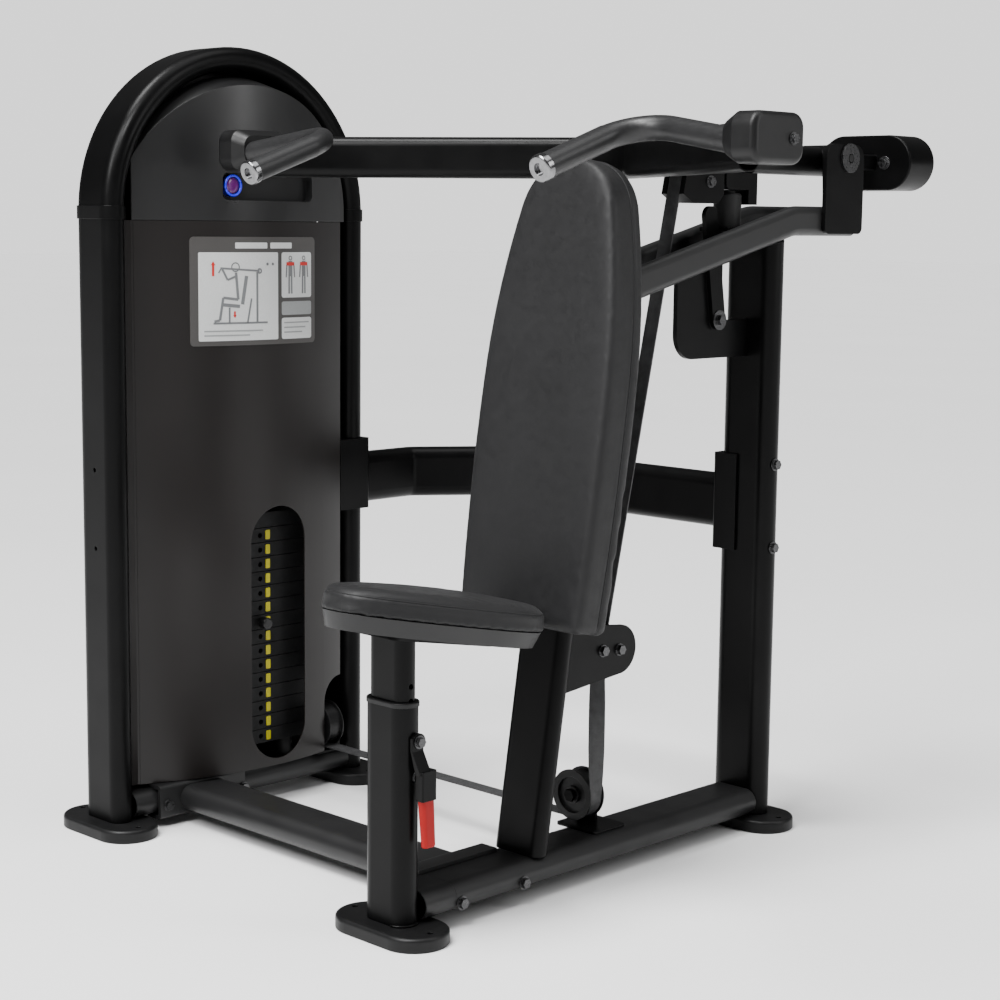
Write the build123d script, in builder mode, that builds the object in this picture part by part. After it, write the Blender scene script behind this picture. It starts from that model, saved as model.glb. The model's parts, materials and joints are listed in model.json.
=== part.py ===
from build123d import *
import os
from math import acos, atan2, cos, degrees, hypot, radians, sin, sqrt, tan

# Seated shoulder press with a belt-driven weight stack. Millimetres, +Z up.
# The origin is on the floor under the middle of the rear upright. The user sits
# facing -Y, and the weight tower stands on the -X side.

# ---------------------------------------------------------------- driving sizes
WALL = 3.0                     # wall of every flat-oval frame tube
GAP = 0.4                      # clearance between formed plates and curved tubes

FOOT_L, FOOT_W, FOOT_H = 240.0, 126.0, 26.0
FOOT_HOLE_R = 6.0              # floor anchor holes
FOOT_HOLE_X = 98.0             # hole distance from the middle of a foot

BASE_W, BASE_H = 120.0, 54.0   # flat-oval base tubes
BASE_Z = FOOT_H + 0.5 + BASE_H / 2
BASE_TOP = BASE_Z + BASE_H / 2

UPRIGHT_W, UPRIGHT_D = 125.0, 57.0
POST_Y = -1003.0               # seat post
POST_W, POST_D = 105.0, 55.0
POST_TOP = 418.0
INNER_W, INNER_D = 93.0, 43.0

TOWER_X = -858.0
TOWER_FRONT, TOWER_REAR = -1001.0, -377.0
TOWER_MID = (TOWER_FRONT + TOWER_REAR) / 2
TOWER_W, TOWER_D = 118.0, 50.0
ARCH_R = (TOWER_REAR - TOWER_FRONT) / 2
ARCH_Z = 1262.0

LATERAL_Y = -815.0             # base tube that joins the tower to the bench
LEAN = 8.8                     # backward lean of the back post, degrees
BACK_Y, BACK_Z = -645.0, 270.0  # a point on the back post's centre line
BACK_W, BACK_D = 116.0, 40.0

FORK_X, FORK_W, FORK_H = 55.0, 30.0, 60.0
FORK_BEND_Y, FORK_BEND_Z = 42.0, 1258.0
FORK_SLOPE = 14.0

PIVOT_Y, PIVOT_Z = 203.0, 1388.0
PIVOT_R = 12.0
ARM_W, ARM_H, ARM_Z = 64.0, 60.0, 1382.0

BAR_Y, BAR_Z = -450.0, 1370.0  # middle of the swept overhead bar
BAR_H, BAR_T = 78.0, 44.0
BAR_END_X, BAR_END_Y = 582.0, -790.0
POD_W, POD_Y0, POD_Y1 = 70.0, -872.0, -742.0
POD_Z0, POD_Z1 = 1341.0, 1421.0
GRIP_R, GRIP_TUBE_R, GRIP_BEND_R = 21.0, 20.4, 72.0

BELT_W, BELT_T = 32.0, 3.0
BELT_Y = -466.0                # the belt's vertical strand behind the back post
PULLEY_R, PULLEY_W, FLANGE_T = 45.0, 40.0, 3.0
PULLEY_Z = 141.0
CLAMP_Y, CLAMP_Z = -266.0, 1320.0
ROLLER_R, ROLLER_Z = 25.0, 436.0
TOP_PULLEY_R, TOP_PULLEY_Z = 87.0, 1385.0

STACK_Y = -640.0
PLATE_L, PLATE_W, PLATE_T = 270.0, 90.0, 30.0
PLATE_PITCH, PLATES, LIFTED = 31.4, 15, 7
STACK_Z = 126.5
ROD_R, ROD_DY = 9.0, 95.0

SEAT_Y, SEAT_Z, SEAT_TILT = -928.0, 559.0, 10.6
SEAT_L, SEAT_W, SEAT_TAPER = 438.0, 270.0, 0.34
SEAT_CUSHION, SEAT_SHELL = 44.0, 30.0

PAD_T, PAD_BACK, PAD_BOARD = 84.0, 13.4, 8.0
PAD_Z0 = 505.0                 # height of the back pad's lower edge
PAD_BOTTOM, PAD_WAIST, PAD_TOP = 153.0, 161.0, 115.0
BOARD_INSET = 14.0             # how far the board stays inside the pad's outline
PAD_WAIST_Y, PAD_TOP_Y, PAD_L = 450.0, 780.0, 868.0

PANEL_Z0, PANEL_Z1, SHEET = 90.0, 1245.0, 3.0
AXLE_R = 8.0                   # belt pulley axles
STEM_R = 11.0                  # lifting stem of the weight stack


def finish(builder, label):
    """Label a finished piece and write its file."""
    builder.part.label = label
    export_step(builder.part, f"parts/{label}.step")


def along_y(x, y, z):
    """Plane whose normal is +Y and whose x direction is +X."""
    return Plane(origin=(x, y, z), x_dir=(1, 0, 0), z_dir=(0, 1, 0))


def along_x(x, y, z):
    """Plane whose normal is +X, with local x = +Y and local y = +Z."""
    return Plane(origin=(x, y, z), x_dir=(0, 1, 0), z_dir=(1, 0, 0))


def tube_section(width, depth, wall=WALL):
    """Add a hollow flat-oval section to the sketch that is open."""
    SlotOverall(width, depth)
    SlotOverall(width - 2 * wall, depth - 2 * wall, mode=Mode.SUBTRACT)


def back_post_y(z):
    """Y of the back post's centre line at height z."""
    return BACK_Y + (z - BACK_Z) * tan(radians(LEAN))


def fork_z(y):
    """Z of a fork tube's centre line at y, on its sloping run."""
    return FORK_BEND_Z + (y - FORK_BEND_Y) * tan(radians(FORK_SLOPE))


os.makedirs("parts", exist_ok=True)

# ---------------------------------------------------------------- feet
FEET = ((TOWER_X, TOWER_FRONT), (TOWER_X, TOWER_REAR), (0.0, POST_Y), (0.0, 0.0))
with BuildPart() as feet:
    with BuildSketch() as outlines:
        with Locations(*FEET):
            SlotOverall(FOOT_L, FOOT_W)
    extrude(amount=FOOT_H)
    fillet(feet.edges().group_by(Axis.Z)[-1], 7)
    chamfer(feet.edges().group_by(Axis.Z)[0], 1.5)
    with BuildSketch() as anchors:
        with Locations(*[(x + s * FOOT_HOLE_X, y) for x, y in FEET for s in (-1, 1)]):
            Circle(FOOT_HOLE_R)
    extrude(amount=FOOT_H, mode=Mode.SUBTRACT)
finish(feet, "feet")

# ---------------------------------------------------------------- tower frame
with BuildPart() as arch:
    with BuildLine(Plane.YZ.offset(TOWER_X)) as arch_path:
        front_leg = Line((TOWER_FRONT, FOOT_H), (TOWER_FRONT, ARCH_Z))
        bend = ThreePointArc(front_leg @ 1, (TOWER_MID, ARCH_Z + ARCH_R), (TOWER_REAR, ARCH_Z))
        Line(bend @ 1, (TOWER_REAR, FOOT_H))
    with BuildSketch(Plane.XY.offset(FOOT_H)) as arch_section:
        with Locations((TOWER_X, TOWER_FRONT)):
            tube_section(TOWER_W, TOWER_D)
    sweep()
    with BuildSketch(along_y(TOWER_X, TOWER_FRONT, 0)) as shroud_holes:
        with Locations((0, -748), (0, -589)):
            Circle(4.5)
    extrude(amount=-TOWER_D, mode=Mode.SUBTRACT)
    with BuildSketch(Plane.XY.offset(ARCH_Z - 15)) as joint_bands:
        with Locations((TOWER_X, TOWER_FRONT), (TOWER_X, TOWER_REAR)):
            tube_section(TOWER_W + 6, TOWER_D + 6, WALL + 1)
    extrude(amount=26)
finish(arch, "tower_arch_frame")

CROSS_Y0 = TOWER_FRONT + TOWER_D / 2
CROSS_Y1 = TOWER_REAR - TOWER_D / 2
with BuildPart() as cross_tube:
    with BuildSketch(along_y(TOWER_X, CROSS_Y0, BASE_Z)) as section:
        tube_section(BASE_W, BASE_H)
    extrude(amount=CROSS_Y1 - CROSS_Y0)
finish(cross_tube, "tower_cross_tube")

ROD_TOP_Z = 1195.0
HEAD_W, HEAD_H = 44.0, 40.0
with BuildPart() as crosshead:
    with BuildSketch(along_y(TOWER_X, CROSS_Y0, ROD_TOP_Z + HEAD_H / 2)) as section:
        Rectangle(HEAD_W, HEAD_H)
        Rectangle(HEAD_W - 2 * WALL, HEAD_H - 2 * WALL, mode=Mode.SUBTRACT)
    extrude(amount=CROSS_Y1 - CROSS_Y0)
    with BuildSketch(Plane.XY.offset(ROD_TOP_Z)) as belt_slots:
        with Locations((TOWER_X, STACK_Y), (TOWER_X, BELT_Y)):
            Rectangle(HEAD_W - 2 * WALL, 26)
    extrude(amount=HEAD_H, mode=Mode.SUBTRACT)
    for start in (TOWER_X + HEAD_W / 2, TOWER_X - HEAD_W / 2 - 6):
        with BuildSketch(Plane.YZ.offset(start)) as cheek:
            with Locations((BELT_Y - TOP_PULLEY_R, TOP_PULLEY_Z)):
                Circle(30)
            with Locations((BELT_Y - TOP_PULLEY_R, ROD_TOP_Z + HEAD_H / 2)):
                Rectangle(110, HEAD_H)
            make_hull()
        extrude(amount=6)
    with BuildSketch(Plane.YZ.offset(TOWER_X - HEAD_W / 2 - 1)) as axle:
        with Locations((BELT_Y - TOP_PULLEY_R, TOP_PULLEY_Z)):
            Circle(AXLE_R)
    extrude(amount=HEAD_W + 2)
finish(crosshead, "rod_crosshead")

with BuildPart() as guide_rods:
    with BuildSketch(Plane.XY.offset(BASE_TOP)) as section:
        with Locations(*[(TOWER_X, STACK_Y + s * ROD_DY) for s in (-1, 1)]):
            Circle(ROD_R)
    extrude(amount=ROD_TOP_Z - BASE_TOP)
finish(guide_rods, "guide_rods")

with BuildPart() as stack_buffers:
    with BuildSketch(Plane.XY.offset(BASE_TOP)) as section:
        with Locations(*[(TOWER_X, STACK_Y + s * ROD_DY) for s in (-1, 1)]):
            Circle(22)
            Circle(ROD_R + 0.5, mode=Mode.SUBTRACT)
    extrude(amount=STACK_Z - BASE_TOP - 0.3)
    fillet(stack_buffers.edges().group_by(Axis.Z)[-1], 2)
finish(stack_buffers, "stack_buffers")


# ---------------------------------------------------------------- weight stack
def plate_sketch(half_l=PLATE_L / 2):
    """Outline of one weight plate, with its rod holes and stem hole."""
    RectangleRounded(PLATE_W, 2 * half_l, 8)
    with Locations(*[(0, s * ROD_DY) for s in (-1, 1)]):
        Circle(ROD_R + 1.0, mode=Mode.SUBTRACT)
    Circle(STEM_R + 1.0, mode=Mode.SUBTRACT)


def plate_group(label, first, count):
    """Weight plates first..first+count-1, counted from the bottom."""
    with BuildPart() as plates:
        for i in range(first, first + count):
            level = Plane(origin=(TOWER_X, STACK_Y, STACK_Z + i * PLATE_PITCH))
            with BuildSketch(level) as outline:
                plate_sketch()
            extrude(amount=PLATE_T)
            with BuildSketch(along_x(TOWER_X, STACK_Y, STACK_Z + (i + 0.5) * PLATE_PITCH - 0.7)) as bore:
                Circle(5.5)
            extrude(amount=PLATE_W, mode=Mode.SUBTRACT)
    finish(plates, label)


def label_group(label, first, count):
    """Number labels on the plates' faces."""
    with BuildPart() as tags:
        for i in range(first, first + count):
            middle = STACK_Z + i * PLATE_PITCH + PLATE_T / 2
            with BuildSketch(along_x(TOWER_X + PLATE_W / 2, STACK_Y + 20, middle)) as outline:
                RectangleRounded(12, 20, 2)
            extrude(amount=1.2)
    finish(tags, label)


RESTING = PLATES - LIFTED
plate_group("weight_plates_resting", 0, RESTING)
plate_group("weight_plates_lifted", RESTING, LIFTED)
label_group("weight_labels_resting", 0, RESTING)
label_group("weight_labels_lifted", RESTING, LIFTED)

STACK_TOP = STACK_Z + PLATES * PLATE_PITCH
PIN_Z = STACK_Z + (RESTING + 0.5) * PLATE_PITCH - 0.7
STEM_Z0 = STACK_Z + 4
SHACKLE_Z = STACK_TOP + 62
with BuildPart() as head_plate:
    with BuildSketch(Plane(origin=(TOWER_X, STACK_Y, STACK_TOP))) as outline:
        RectangleRounded(PLATE_W, PLATE_L, 8)
        with Locations(*[(0, s * ROD_DY) for s in (-1, 1)]):
            Circle(ROD_R + 0.06, mode=Mode.SUBTRACT)
    extrude(amount=33)
    fillet(head_plate.edges().group_by(Axis.Z)[-1].filter_by(GeomType.LINE), 2)
    with BuildSketch(Plane(origin=(TOWER_X, STACK_Y, STEM_Z0))) as stem:
        Circle(STEM_R)
    extrude(amount=SHACKLE_Z - STEM_Z0)
    with BuildSketch(Plane(origin=(TOWER_X, STACK_Y, SHACKLE_Z))) as block:
        RectangleRounded(BELT_W + 12, 26, 5)
    extrude(amount=56)
    with BuildSketch(Plane(origin=(TOWER_X, STACK_Y, SHACKLE_Z + 24))) as slot:
        Rectangle(BELT_W + 0.8, BELT_T + 0.8)
    extrude(amount=32, mode=Mode.SUBTRACT)
    with BuildSketch(along_x(TOWER_X, STACK_Y, PIN_Z)) as bore:
        Circle(5.5)
    extrude(amount=STEM_R + 1, mode=Mode.SUBTRACT)
finish(head_plate, "stack_head_plate")

PIN_X = TOWER_X + 1
with BuildPart() as pin:
    with BuildSketch(along_x(PIN_X, STACK_Y, PIN_Z)) as shank:
        Circle(5.0)
    extrude(amount=PLATE_W / 2 + 10)
    with BuildSketch(along_x(PIN_X + PLATE_W / 2 + 9, STACK_Y, PIN_Z)) as knob:
        Circle(13)
    extrude(amount=18)
    fillet(pin.faces().sort_by(Axis.X)[-1].edges(), 5)
finish(pin, "selector_pin")

# ---------------------------------------------------------------- base tubes
with BuildPart() as lateral_tube:
    with BuildSketch(along_x(TOWER_X + BASE_W / 2 + 10.2, LATERAL_Y, BASE_Z)) as section:
        tube_section(BASE_W, BASE_H)
    extrude(amount=-TOWER_X - BASE_W - 20.4)
finish(lateral_tube, "lateral_base_tube")

STUB_END = -902.0
with BuildPart() as main_tube:
    with BuildSketch(along_y(0, STUB_END + 0.5, BASE_Z)) as section:
        tube_section(BASE_W, BASE_H)
    extrude(amount=-UPRIGHT_D / 2 - STUB_END - 0.5)
finish(main_tube, "main_base_tube")

with BuildPart() as stub:
    stub_start = POST_Y + POST_D / 2
    with BuildSketch(along_y(0, stub_start, BASE_Z)) as section:
        tube_section(BASE_W, BASE_H)
    extrude(amount=STUB_END - stub_start)
finish(stub, "front_base_stub")


SADDLE_T = 8.0
SADDLE_OUT = 10.0              # saddle face beyond the clamped tube


def saddle_sketch(inner, depth):
    """C-shaped clamp section: closed side at local x = 0, legs towards local +x."""
    with Locations((depth / 2 + 8, 0)):
        RectangleRounded(depth + 16, inner + 2 * (SADDLE_T + GAP), 8)
    with Locations((depth / 2 + SADDLE_T + 1, 0)):
        Rectangle(depth, inner + 2 * GAP, mode=Mode.SUBTRACT)
    with Locations((depth + 20, 0)):
        Rectangle(40, 2 * inner, mode=Mode.SUBTRACT)


# local x of each plane points from the closed side of the C over the clamped tube
SADDLE_X0, SADDLE_X1 = TOWER_X + BASE_W / 2 + SADDLE_OUT, -BASE_W / 2 - SADDLE_OUT
TOWER_SADDLE = Plane(origin=(SADDLE_X0, LATERAL_Y, BASE_Z), x_dir=(-1, 0, 0), z_dir=(0, 1, 0))
BENCH_SADDLE = Plane(origin=(SADDLE_X1, LATERAL_Y, BASE_Z), x_dir=(1, 0, 0), z_dir=(0, 1, 0))
with BuildPart() as base_saddles:
    for plane, length in ((TOWER_SADDLE, 220), (BENCH_SADDLE, 200)):
        with BuildSketch(plane.offset(-length / 2)) as section:
            saddle_sketch(BASE_H, 46)
        extrude(amount=length)
finish(base_saddles, "base_saddles")

# ---------------------------------------------------------------- seat post
with BuildPart() as seat_post:
    with BuildSketch(Plane.XY.offset(FOOT_H)) as section:
        with Locations((0, POST_Y)):
            tube_section(POST_W, POST_D, 4.0)
    extrude(amount=POST_TOP - FOOT_H)
    with BuildSketch(along_x(0, POST_Y + 8, 294)) as pin_hole:
        Circle(8.5)
    extrude(amount=POST_W, mode=Mode.SUBTRACT)
finish(seat_post, "seat_post_outer")

with BuildPart() as bush:
    with BuildSketch(Plane.XY.offset(POST_TOP - 60)) as sleeve:
        with Locations((0, POST_Y)):
            SlotOverall(POST_W - 8.2, POST_D - 8.2)
    extrude(amount=60)
    with BuildSketch(Plane.XY.offset(POST_TOP)) as collar:
        with Locations((0, POST_Y)):
            SlotOverall(POST_W + 4, POST_D + 4)
    extrude(amount=9)
    fillet(bush.faces().sort_by(Axis.Z)[-1].edges(), 3)
    with BuildSketch(Plane.XY.offset(POST_TOP - 61)) as bore:
        with Locations((0, POST_Y)):
            SlotOverall(INNER_W + 1.2, INNER_D + 1.2)
    extrude(amount=80, mode=Mode.SUBTRACT)
finish(bush, "seat_post_bush")

SEAT_PLANE = Plane(origin=(0, SEAT_Y, SEAT_Z), x_dir=(1, 0, 0),
                   z_dir=(0, sin(radians(SEAT_TILT)), cos(radians(SEAT_TILT))))
PAN_BOTTOM = SEAT_PLANE.offset(-SEAT_SHELL - 8)
INNER_Z0 = 150.0
with BuildPart() as inner_post:
    with BuildSketch(Plane.XY.offset(INNER_Z0)) as section:
        with Locations((0, POST_Y)):
            tube_section(INNER_W, INNER_D)
    extrude(amount=600 - INNER_Z0)
    split(bisect_by=PAN_BOTTOM, keep=Keep.BOTTOM)
    hole_levels = [402.0 + 26.0 * i for i in range(3)] + [376.0 - 26.0 * i for i in range(6)]
    with BuildSketch(along_x(0, POST_Y, 0)) as holes:
        with Locations(*[(0, level) for level in hole_levels]):
            Circle(5.0)
    extrude(amount=POST_W, mode=Mode.SUBTRACT)
    with BuildSketch(PAN_BOTTOM) as plate:
        RectangleRounded(120, 250, 14)
    extrude(amount=8)
finish(inner_post, "seat_post_inner")


def seat_outline(inset):
    """Egg-shaped seat outline: a superellipse that narrows towards the front."""
    points = []
    steps = 20
    power = 2 / 2.6
    for i in range(steps):
        angle = radians(360 * i / steps)
        c, s = cos(angle), sin(angle)
        y = (SEAT_L / 2 - inset) * abs(s) ** power * (1 if s >= 0 else -1)
        x = (SEAT_W / 2 - inset) * abs(c) ** power * (1 if c >= 0 else -1)
        points.append((x * (1 + SEAT_TAPER * y / (SEAT_L / 2)), y))
    Spline(*points, periodic=True)


with BuildPart() as seat_pan:
    with BuildSketch(SEAT_PLANE.offset(-SEAT_SHELL)) as lower:
        with BuildLine():
            seat_outline(12)
        make_face()
    with BuildSketch(SEAT_PLANE.offset(-0.5)) as upper:
        with BuildLine():
            seat_outline(3)
        make_face()
    loft()
finish(seat_pan, "seat_pan_shell")

with BuildPart() as seat_cushion:
    with BuildSketch(SEAT_PLANE.offset(0.5)) as outline:
        with BuildLine():
            seat_outline(0)
        make_face()
    extrude(amount=SEAT_CUSHION - 12)
    with BuildSketch(SEAT_PLANE.offset(SEAT_CUSHION - 11.5)) as crown_base:
        with BuildLine():
            seat_outline(0)
        make_face()
    with BuildSketch(SEAT_PLANE.offset(SEAT_CUSHION)) as crown_top:
        with BuildLine():
            seat_outline(16)
        make_face()
    loft()
finish(seat_cushion, "seat_cushion")

# ---------------------------------------------------------------- seat lever
LEVER_X = POST_W / 2 + 2.5
LEVER_Y, LEVER_Z = -997.0, 358.0
BLOCK_Z1, BLOCK_Z0 = 309.0, 256.0
with BuildPart() as lever:
    with BuildSketch(Plane.YZ.offset(LEVER_X)) as boss:
        with Locations((LEVER_Y, LEVER_Z)):
            Circle(15)
    extrude(amount=6)
    with BuildSketch(Plane.XZ.offset(-(LEVER_Y + 10))) as side:
        with BuildLine():
            Polyline((LEVER_X, LEVER_Z + 8), (LEVER_X + 6, LEVER_Z + 8), (LEVER_X + 6, LEVER_Z - 16),
                     (LEVER_X + 24, BLOCK_Z1), (LEVER_X + 24, BLOCK_Z1 - 6), (LEVER_X + 14, BLOCK_Z1 - 6),
                     (LEVER_X, LEVER_Z - 14), close=True)
        make_face()
    extrude(amount=26)
    with BuildSketch(Plane.XY.offset(BLOCK_Z0)) as block:
        with Locations((LEVER_X + 17, LEVER_Y + 6)):
            RectangleRounded(20, 34, 3)
    extrude(amount=BLOCK_Z1 - BLOCK_Z0)
    with BuildSketch(Plane.YZ.offset(LEVER_X - 1)) as bore:
        with Locations((LEVER_Y, LEVER_Z)):
            Circle(6.3)
    extrude(amount=12, mode=Mode.SUBTRACT)
finish(lever, "seat_lever")

with BuildPart() as lever_grip:
    grip_plane = Plane.XY.offset(BLOCK_Z0)
    with BuildSketch(grip_plane) as top_section:
        with Locations((LEVER_X + 17, LEVER_Y + 6)):
            SlotOverall(32, 17, rotation=90)
    with BuildSketch(Plane.XY.offset(BLOCK_Z0 - 84)) as end_section:
        with Locations((LEVER_X + 22, LEVER_Y + 8)):
            SlotOverall(28, 15, rotation=90)
    loft()
    fillet(lever_grip.faces().sort_by(Axis.Z)[0].edges(), 4)
finish(lever_grip, "seat_lever_grip")

LOCK_Y, LOCK_Z = POST_Y + 8, 294.0
with BuildPart() as lock_pin:
    with BuildSketch(Plane.YZ.offset(INNER_W / 2 + 3)) as shank:
        with Locations((LOCK_Y, LOCK_Z)):
            Circle(8.44)
    extrude(amount=8)
    with BuildSketch(Plane.YZ.offset(POST_W / 2 + 0.6)) as head:
        with Locations((LOCK_Y, LOCK_Z)):
            Circle(11)
    extrude(amount=5)
finish(lock_pin, "seat_lock_pin")

# ---------------------------------------------------------------- back post and pad
LEAN_DIR = (0, sin(radians(LEAN)), cos(radians(LEAN)))
POST_PLANE = Plane(origin=(0, back_post_y(BASE_TOP), BASE_TOP), x_dir=(1, 0, 0), z_dir=LEAN_DIR)
BACK_TOP_Z = 1175.0
with BuildPart() as back_post:
    with BuildSketch(POST_PLANE.offset(-15)) as section:
        tube_section(BACK_W, BACK_D)
    extrude(amount=(BACK_TOP_Z - BASE_TOP) / cos(radians(LEAN)) + 15)
    split(bisect_by=Plane.XY.offset(BASE_TOP), keep=Keep.TOP)
    with BuildSketch(POST_PLANE.offset((BACK_TOP_Z - BASE_TOP) / cos(radians(LEAN)))) as cap:
        SlotOverall(BACK_W, BACK_D)
    extrude(amount=4)
finish(back_post, "back_post")

with BuildPart() as back_post_solid:
    with BuildSketch(POST_PLANE) as section:
        SlotOverall(BACK_W + 0.4, BACK_D + 0.4)
    extrude(amount=1300)

# local x across the pad, local y up the pad, local z out of its front
pad_drop = BACK_D / 2 / cos(radians(LEAN))
PAD_PLANE = Plane(origin=(0, back_post_y(PAD_Z0) - pad_drop, PAD_Z0), x_dir=(1, 0, 0),
                  z_dir=(0, -cos(radians(LEAN)), sin(radians(LEAN))))


def pad_outline(inset):
    """Back pad outline: nearly straight below, tapering above to a round top."""
    foot, waist, shoulder = PAD_BOTTOM - inset, PAD_WAIST - inset, PAD_TOP - inset
    with BuildLine() as edge:
        base = Line((-foot, inset), (foot, inset))
        lower = ThreePointArc(base @ 1, (waist + 1, 240), (waist, PAD_WAIST_Y))
        upper = ThreePointArc(lower @ 1, (147 - inset, 620), (shoulder, PAD_TOP_Y))
        crown = ThreePointArc(upper @ 1, (0, PAD_L - inset), (-shoulder, PAD_TOP_Y))
        upper_left = ThreePointArc(crown @ 1, (-147 + inset, 620), (-waist, PAD_WAIST_Y))
        ThreePointArc(upper_left @ 1, (-waist - 1, 240), base @ 0)
    make_face(edge.line.edges())


with BuildPart() as pad_board:
    with BuildSketch(PAD_PLANE) as outline:
        pad_outline(BOARD_INSET)
        fillet(outline.vertices().sort_by(Axis.Y)[:2], 26)
    extrude(amount=PAD_BOARD)
finish(pad_board, "back_pad_board")

with BuildPart() as back_pad:
    with BuildSketch(PAD_PLANE.offset(-PAD_BACK)) as outline:
        pad_outline(0)
        fillet(outline.vertices().sort_by(Axis.Y)[:2], 15)
    extrude(amount=PAD_T)
    fillet(back_pad.faces().sort_by(Axis.Y)[0].edges(), 14)
    with BuildSketch(PAD_PLANE) as pocket:
        pad_outline(BOARD_INSET - 0.4)
        fillet(pocket.vertices().sort_by(Axis.Y)[:2], 26)
    extrude(amount=PAD_BOARD + 0.4, mode=Mode.SUBTRACT)
    extrude(pocket.sketch, amount=-PAD_BACK - 1, mode=Mode.SUBTRACT)
    add(back_post_solid.part, mode=Mode.SUBTRACT)
finish(back_pad, "back_pad")

# ---------------------------------------------------------------- belt guide on the back post
BRACKET_X, BRACKET_T = 24.0, 7.0
REAR_ROLLER_Y = BELT_Y + BELT_T / 2 + ROLLER_R + 0.4
FRONT_ROLLER_Y = BELT_Y - BELT_T / 2 - 19 - 0.6
with BuildPart() as brackets:
    for start in (BRACKET_X, -BRACKET_X - BRACKET_T):
        with BuildSketch(Plane.YZ.offset(start)) as outline:
            with BuildLine():
                post_top = (back_post_y(503) + pad_drop + 0.3, 503)
                post_low = (back_post_y(372) + pad_drop + 0.3, 372)
                upper = Line(post_top, (REAR_ROLLER_Y, ROLLER_Z + 48))
                nose = ThreePointArc(upper @ 1, (REAR_ROLLER_Y + 48, ROLLER_Z), (REAR_ROLLER_Y, ROLLER_Z - 48))
                lower = Line(nose @ 1, post_low)
                Line(lower @ 1, post_top)
            make_face()
            with Locations((REAR_ROLLER_Y, ROLLER_Z), (FRONT_ROLLER_Y, ROLLER_Z + 4)):
                Circle(6.05, mode=Mode.SUBTRACT)
        extrude(amount=BRACKET_T)
finish(brackets, "guide_brackets")

ROLLER_W = 2 * BRACKET_X - 4
for label, roller_y, roller_z, radius in (
    ("guide_roller_rear", REAR_ROLLER_Y, ROLLER_Z, ROLLER_R),
    ("guide_roller_front", FRONT_ROLLER_Y, ROLLER_Z + 4, 19.0),
):
    with BuildPart() as roller:
        with BuildSketch(Plane.YZ.offset(-ROLLER_W / 2)) as section:
            with Locations((roller_y, roller_z)):
                Circle(radius)
                Circle(6.06, mode=Mode.SUBTRACT)
        extrude(amount=ROLLER_W)
        chamfer(roller.edges().filter_by(GeomType.CIRCLE), 0.8)
    finish(roller, label)


# ---------------------------------------------------------------- flanged belt pulleys
def pulley(label, plane, belt_r, width, bore_r):
    """Flanged belt pulley whose axis is the plane's normal, centred on the plane."""
    rim = belt_r + 5
    with BuildPart() as wheel:
        with BuildSketch(plane.offset(-width / 2)) as disc:
            Circle(rim)
        extrude(amount=width)
        with BuildSketch(plane.offset(-width / 2 + FLANGE_T)) as groove:
            Circle(rim + 1)
            Circle(belt_r - BELT_T / 2 - 0.4, mode=Mode.SUBTRACT)
        extrude(amount=width - 2 * FLANGE_T, mode=Mode.SUBTRACT)
        for side in (-1, 1):
            start = plane.offset(side * width / 2)
            with BuildSketch(start) as dish:
                Circle(belt_r - 9)
                Circle(bore_r + 9, mode=Mode.SUBTRACT)
            extrude(amount=-side * 6, mode=Mode.SUBTRACT)
        with BuildSketch(plane.offset(-width / 2)) as bore:
            Circle(bore_r)
        extrude(amount=width, mode=Mode.SUBTRACT)
    finish(wheel, label)


LOWER_X = -PULLEY_R
TOWER_PULLEY_X = TOWER_X + PULLEY_R
TOP_PULLEY_Y = BELT_Y - TOP_PULLEY_R
pulley("lower_pulley", along_y(LOWER_X, BELT_Y, PULLEY_Z), PULLEY_R, PULLEY_W, AXLE_R + 0.06)
pulley("tower_lower_pulley", along_y(TOWER_PULLEY_X, BELT_Y, PULLEY_Z), PULLEY_R, PULLEY_W, AXLE_R + 0.06)
pulley("tower_top_pulley", along_x(TOWER_X, TOP_PULLEY_Y, TOP_PULLEY_Z), TOP_PULLEY_R, PULLEY_W, AXLE_R + 0.06)


# one cheek behind each low pulley, standing on a foot plate, carries its axle
with BuildPart() as stands:
    for x, foot_x0, foot_x1 in ((LOWER_X, LOWER_X - 26, 33), (TOWER_PULLEY_X, TOWER_X - 30, TOWER_PULLEY_X + 26)):
        with BuildSketch(Plane.XY.offset(BASE_TOP)) as plate:
            with Locations(((foot_x0 + foot_x1) / 2, BELT_Y + 8)):
                RectangleRounded(foot_x1 - foot_x0, 92, 10)
        extrude(amount=5)
        with BuildSketch(along_y(x, BELT_Y + PULLEY_W / 2 + 3, 0)) as cheek:
            with Locations((0, -PULLEY_Z)):
                Circle(24)
            with Locations((0, -(PULLEY_Z + BASE_TOP) / 2)):
                Rectangle(48, PULLEY_Z - BASE_TOP)
        extrude(amount=7)
        with BuildSketch(along_y(x, BELT_Y - PULLEY_W / 2 - 2, PULLEY_Z)) as axle:
            Circle(AXLE_R)
        extrude(amount=PULLEY_W + 6)
        with BuildSketch(along_y(x, BELT_Y - PULLEY_W / 2 - 9, PULLEY_Z)) as head:
            RegularPolygon(13, 6)
        extrude(amount=7)
finish(stands, "pulley_stands")

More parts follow.
